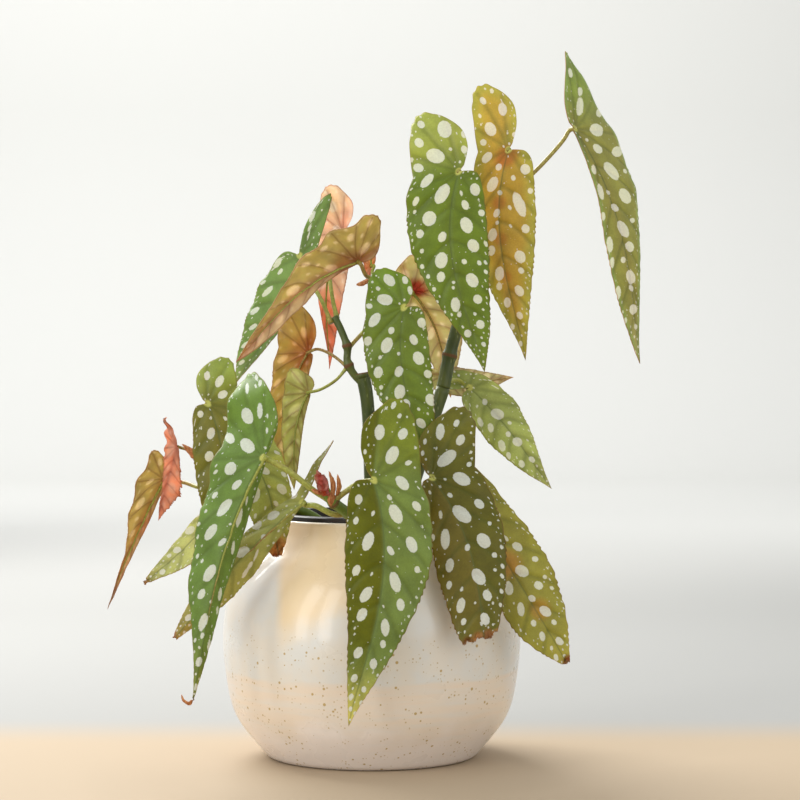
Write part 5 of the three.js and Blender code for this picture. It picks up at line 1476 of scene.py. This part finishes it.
class BegoniaColours(bpy.types.PropertyGroup):
    """Colours of the plant, the pots and the soil, as sRGB hex values."""

    spots: colour_property("Spots", "Silvery cream of the leaf spots", "eaf0e6")
    # Painted shade in the furrows of the veins.
    painted_vein_shade: colour_property("Vein shade", "Green in the furrow of a vein", "4d5f22")
    midrib: colour_property("Midrib", "The sunken midrib on the upper face", "66743f")
    rim: colour_property("Rim", "Thin reddish margin of a leaf", "a9734f")
    petiole_eye: colour_property("Petiole eye", "Pale spot where the petiole meets a blade", "d8da72")
    under_vein: colour_property("Under veins", "Raised veins of the underside", "8a3b2a")
    petiole: colour_property("Petiole", "Young stalk", "8d9440")
    petiole_flush: colour_property("Petiole flush", "Red-brown flush of a stalk", "8a5a35")
    cane: colour_property("Cane", "Old green bark", "34451c")
    cane_light: colour_property("Cane light", "Paler streaks of the bark", "5b662f")
    cane_young: colour_property("Young cane", "Greener bark of the low shoots", "6f8a30")
    cane_speck: colour_property("Cane specks", "Specks on the bark", "8f9a62")
    cane_scar: colour_property("Cane scars", "Corky rings at the joints", "6b4428")
    stipule: colour_property("Stipule", "Dry scale", "d0945c")
    stipule_dark: colour_property("Stipule fibres", "Dark fibres of a dry scale", "a86236")
    glaze: colour_property("Glaze", "Cream glaze", "dfdacf")
    glaze_cool: colour_property("Cool glaze", "Cooler white of the glaze", "dadbd7")
    # Painted warm reflection of a wooden table, low on the pot.
    painted_table_reflection: colour_property("Warm glaze", "Tan band low on the pot", "e6d5c0")
    # Painted golden light on the front left of the pot.
    painted_golden_light: colour_property("Golden wash", "Where the glaze ran thin", "ebcf9f")
    glaze_foot: colour_property("Foot glaze", "Greyish white round the foot", "f2ebe8")
    iron_speck: colour_property("Iron specks", "Specks in the glaze", "b0944c")
    plastic: colour_property("Nursery pot", "Black polypropylene", "17181a")
    soil: colour_property("Soil", "Dark peat", "3a291e")
    bark: colour_property("Bark", "Bark in the soil", "6a4a33")
    bark_edge: colour_property("Bark edge", "Broken edge of a bark chip", "a07a52")
    floor: colour_property("Floor", "Studio floor", "cdb799")
    wall: colour_property("Wall", "Studio backdrop", "b5b5b2")


MATERIALS = {}


def material(kind):
    """One material of each kind, made when it is first asked for."""
    if kind not in MATERIALS:
        MATERIALS[kind] = kind(bpy.context.scene.begonia_colours)
    return MATERIALS[kind]


# ---- Operators ----
class BegoniaCeramicPot(bpy.types.Operator):
    """Turn the round stoneware pot"""

    bl_idname = "begonia.ceramic_pot"
    bl_label = "Ceramic Pot"

    def execute(self, context):
        outside = smooth_profile(POT_OUTSIDE, 5)
        inside = smooth_profile(POT_INSIDE, 5)
        profile = (*POT_FOOT, *outside, *POT_RIM, *inside, (0, POT_FLOOR))
        bm = bmesh.new()
        turned(bm, profile, context.scene.begonia_sizes.pot_segments)
        add_piece(bm, "stoneware_pot", [material(stoneware_glaze)], ["ceramic_pot"])
        return {"FINISHED"}


class BegoniaNurseryPot(bpy.types.Operator):
    """Form the black nursery pot that hangs by its lip, with its drain holes"""

    bl_idname = "begonia.nursery_pot"
    bl_label = "Nursery Pot"

    def execute(self, context):
        bm = bmesh.new()
        turned(bm, NURSERY_POT, 120)
        bmesh.ops.scale(bm, vec=(MM, MM, MM), verts=bm.verts)
        shell = linked_object(bm, "nursery_pot_shell")
        bm = bmesh.new()
        for i in range(DRAIN_COUNT):
            angle = 2 * math.pi * i / DRAIN_COUNT
            across, along = DRAIN_RING * math.cos(angle), DRAIN_RING * math.sin(angle)
            bmesh.ops.create_cone(
                bm, cap_ends=True, segments=32, radius1=DRAIN_RADIUS * MM, radius2=DRAIN_RADIUS * MM,
                depth=10 * MM, matrix=Matrix.Translation((across * MM, along * MM, NURSERY_FLOOR * MM)),
            )
        cutter = linked_object(bm, "drains")
        cut = shell.modifiers.new("drain holes", "BOOLEAN")
        cut.object = cutter
        cut.operation = "DIFFERENCE"
        cut.solver = "EXACT"
        done = bpy.data.meshes.new_from_object(shell.evaluated_get(context.evaluated_depsgraph_get()))
        bpy.data.objects.remove(cutter)
        bpy.data.objects.remove(shell)
        bm = bmesh.new()
        bm.from_mesh(done)
        bmesh.ops.scale(bm, vec=(1 / MM, 1 / MM, 1 / MM), verts=bm.verts)
        plastic = [material(nursery_plastic)]
        piece = add_piece(bm, "nursery_pot_body", plastic, ["nursery_pot"])
        piece.data.set_sharp_from_angle(angle=math.radians(40))
        return {"FINISHED"}


class BegoniaSoil(bpy.types.Operator):
    """Fill the nursery pot with crumbly soil and lay bark chips on it"""

    bl_idname = "begonia.soil"
    bl_label = "Soil"

    def execute(self, context):
        bm = bmesh.new()
        top = []
        for k in range(SOIL_RINGS + 1):
            share = k / SOIL_RINGS
            top.append((SOIL_RADIUS * (1 - share), SOIL_FLAT + SOIL_RISE * share**0.8))
        turned(bm, (*SOIL_BELOW, *top), 120)
        for vert in bm.verts:
            if vert.co.z > SOIL_FLAT - 0.4 and math.hypot(vert.co.x, vert.co.y) < SOIL_RADIUS - 0.7:
                vert.co.z += 1.4 * noise.noise(vert.co * 0.12) + 0.8 * noise.noise(vert.co * 0.5)
        add_piece(bm, "soil_body", [material(potting_soil)], ["soil"])
        rng = random.Random(5)
        bm = bmesh.new()
        for _ in range(context.scene.begonia_sizes.chips):
            distance = CHIP_REACH * math.sqrt(rng.random())
            angle = rng.uniform(0, 2 * math.pi)
            chip = bmesh.ops.create_cube(bm, size=1)["verts"]
            bmesh.ops.scale(bm, verts=chip, vec=[rng.uniform(*size) for size in CHIP_SIZES])
            for vert in chip:
                vert.co += Vector([rng.uniform(-0.5, 0.5) for _ in range(3)])
            turn = Matrix.Rotation(rng.uniform(0, 6.3), 3, "Z")
            tilt = Matrix.Rotation(rng.uniform(-0.5, 0.5), 3, "X")
            bmesh.ops.rotate(bm, verts=chip, matrix=turn @ tilt)
            # Its middle lies 0.6 mm above the mound.
            height = SOIL_FLAT + SOIL_RISE * (1 - distance / 53) + 0.6
            place = (distance * math.cos(angle), distance * math.sin(angle), height)
            bmesh.ops.translate(bm, verts=chip, vec=place)
        bmesh.ops.bevel(
            bm, geom=bm.edges, offset=0.3, affect="EDGES", segments=1, profile=0.5, material=-1,
        )
        add_piece(bm, "bark_chips", [material(bark_chip)], ["soil"], smooth=False)
        return {"FINISHED"}


class BegoniaCanes(bpy.types.Operator):
    """Grow the canes with their joints, and the dry scales on them"""

    bl_idname = "begonia.canes"
    bl_label = "Canes"

    def execute(self, context):
        for name, cane in CANES.items():
            build_cane(name, cane, [material(cane_skin)])
            if "stipule" in cane:
                build_stipule(name + "_stipule", name, cane["stipule"], material(dry_scale))
        for number, scale in enumerate(SCALES):
            build_stipule(f"dry_scale_{number}", "shoot_front", scale, material(dry_scale))
        return {"FINISHED"}


class BegoniaBlades(bpy.types.Operator):
    """Grow the leaf blades, veined, quilted and spotted"""

    bl_idname = "begonia.blades"
    bl_label = "Leaf Blades"

    def execute(self, context):
        for name in LEAVES:
            build_blade(name, material(leaf_upper), material(leaf_under))
        return {"FINISHED"}


class BegoniaPetioles(bpy.types.Operator):
    """Grow the petioles and the midribs under the blades"""

    bl_idname = "begonia.petioles"
    bl_label = "Petioles"

    def execute(self, context):
        for name in LEAVES:
            build_petiole(name, material(petiole_skin))
        return {"FINISHED"}


# The floor and the wall are one sheet, in metres, which bends up behind the pot.
COVE_WIDTH = 10
COVE_FRONT = -4
COVE_BACK = 4.2
COVE_BEND = 0.8  # the radius of its bend
COVE_TOP = 4
COVE_DROP = 0.0002  # how far the floor lies under the foot of the pot
# Each lamp's place and what it is turned to, in metres, its two sides, its power and its colour.
LAMPS = {
    "window_left": ((-1.5, -1.1, 0.9), (0, 0, 0.15), (0.35, 1.7), 8, (1, 0.99, 0.98)),
    "window_right": ((-1.05, -1.5, 0.9), (0, 0, 0.15), (0.35, 1.7), 8, (1, 0.99, 0.98)),
    "fill": ((1.3, -1.5, 0.9), (0, 0, 0.15), (1.4, 1.4), 7, (1, 0.99, 0.98)),
    "backdrop": ((-0.7, 2.3, 2.0), (-0.6, 4.2, 0.6), (2.0, 0.8), 39, (1, 1, 1)),
    "behind": ((-0.6, 0.9, 1.1), (0, 0, 0.2), (1.2, 1.0), 34, (1, 0.99, 0.97)),
}
SKY = (0.985, 0.995, 1, 1)
SKY_STRENGTH = 0.8


def set_backdrop(colours):
    """Draws the profile of the floor and the wall, and pulls it out sideways."""
    turn = [k * math.pi / 32 for k in range(17)]
    bend = [
        (COVE_BACK - COVE_BEND + COVE_BEND * math.sin(angle), COVE_BEND - COVE_BEND * math.cos(angle))
        for angle in turn
    ]
    line = [(COVE_FRONT, 0), (-1.2, 0), (-0.4, 0), (0.6, 0), *bend, (COVE_BACK, COVE_TOP)]
    bm = bmesh.new()
    verts = [bm.verts.new((-COVE_WIDTH / 2, y, z - COVE_DROP)) for y, z in line]
    edges = [bm.edges.new(pair) for pair in zip(verts, verts[1:])]
    wide = bmesh.ops.extrude_edge_only(bm, edges=edges)["geom"]
    bmesh.ops.translate(
        bm, vec=(COVE_WIDTH, 0, 0), verts=[part for part in wide if isinstance(part, bmesh.types.BMVert)],
    )
    bmesh.ops.recalc_face_normals(bm, faces=bm.faces)
    cove = linked_object(bm, "studio_cove")
    cove.data.materials.append(studio_paper("studio_paper", colours.floor, colours.wall))


def set_light(scene):
    """A pale sky, and soft lamps for two windows, their fill, the wall and the back of the leaves."""
    world = bpy.data.worlds.new("soft_daylight")
    world.use_nodes = True
    sky = world.node_tree.nodes["Background"]
    sky.inputs[0].default_value = SKY
    sky.inputs[1].default_value = SKY_STRENGTH
    scene.world = world
    for name, (place, aim, size, power, colour) in LAMPS.items():
        lamp = bpy.data.lights.new(name, "AREA")
        lamp.shape = "RECTANGLE"
        lamp.size, lamp.size_y = size
        lamp.energy = power
        lamp.color = colour
        light = bpy.data.objects.new(name, lamp)
        light.location = place
        light.rotation_euler = (Vector(aim) - Vector(place)).to_track_quat("-Z", "Y").to_euler()
        scene.collection.objects.link(light)


def set_camera(scene):
    """The camera that the photograph was solved for."""
    lens = bpy.data.cameras.new("camera")
    lens.lens = CAMERA_LENS
    lens.sensor_width = SENSOR
    lens.clip_end = 20
    camera = bpy.data.objects.new("camera", lens)
    camera.location = Vector(CAMERA_PLACE) * MM
    camera.rotation_euler = (math.radians(90 - CAMERA_DIP), 0, 0)
    scene.collection.objects.link(camera)
    scene.camera = camera


class BegoniaStage(bpy.types.Operator):
    """Set the pale floor and backdrop, the soft light and the camera"""

    bl_idname = "begonia.stage"
    bl_label = "Stage"

    def execute(self, context):
        scene = context.scene
        scene.view_settings.view_transform = "Standard"
        set_backdrop(scene.begonia_colours)
        set_light(scene)
        set_camera(scene)
        return {"FINISHED"}


OPERATORS = (
    BegoniaCeramicPot, BegoniaNurseryPot, BegoniaSoil, BegoniaCanes, BegoniaBlades, BegoniaPetioles,
    BegoniaStage,
)


class BegoniaPanel(bpy.types.Panel):
    """Lists the sizes, the colours and the steps"""

    bl_idname = "VIEW3D_PT_begonia"
    bl_label = "Potted Polka Dot Begonia"
    bl_space_type = "VIEW_3D"
    bl_region_type = "UI"
    bl_category = "Begonia"

    def draw(self, context):
        for group in (context.scene.begonia_sizes, context.scene.begonia_colours):
            for name in group.__annotations__:
                self.layout.prop(group, name)
        for operator in OPERATORS:
            self.layout.operator(operator.bl_idname)


CLASSES = (BegoniaSizes, BegoniaColours, *OPERATORS, BegoniaPanel)


def register():
    """Makes the classes and their settings known to Blender."""
    for each in CLASSES:
        bpy.utils.register_class(each)
    bpy.types.Scene.begonia_sizes = bpy.props.PointerProperty(type=BegoniaSizes)
    bpy.types.Scene.begonia_colours = bpy.props.PointerProperty(type=BegoniaColours)


def unregister():
    """Takes them away again."""
    del bpy.types.Scene.begonia_sizes
    del bpy.types.Scene.begonia_colours
    for each in reversed(CLASSES):
        bpy.utils.unregister_class(each)


def main():
    """Builds the plant and its stage."""
    register()
    bpy.ops.begonia.ceramic_pot()
    bpy.ops.begonia.nursery_pot()
    bpy.ops.begonia.soil()
    bpy.ops.begonia.canes()
    bpy.ops.begonia.blades()
    bpy.ops.begonia.petioles()
    bpy.ops.begonia.stage()
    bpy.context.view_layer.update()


if __name__ == "__main__":
    main()
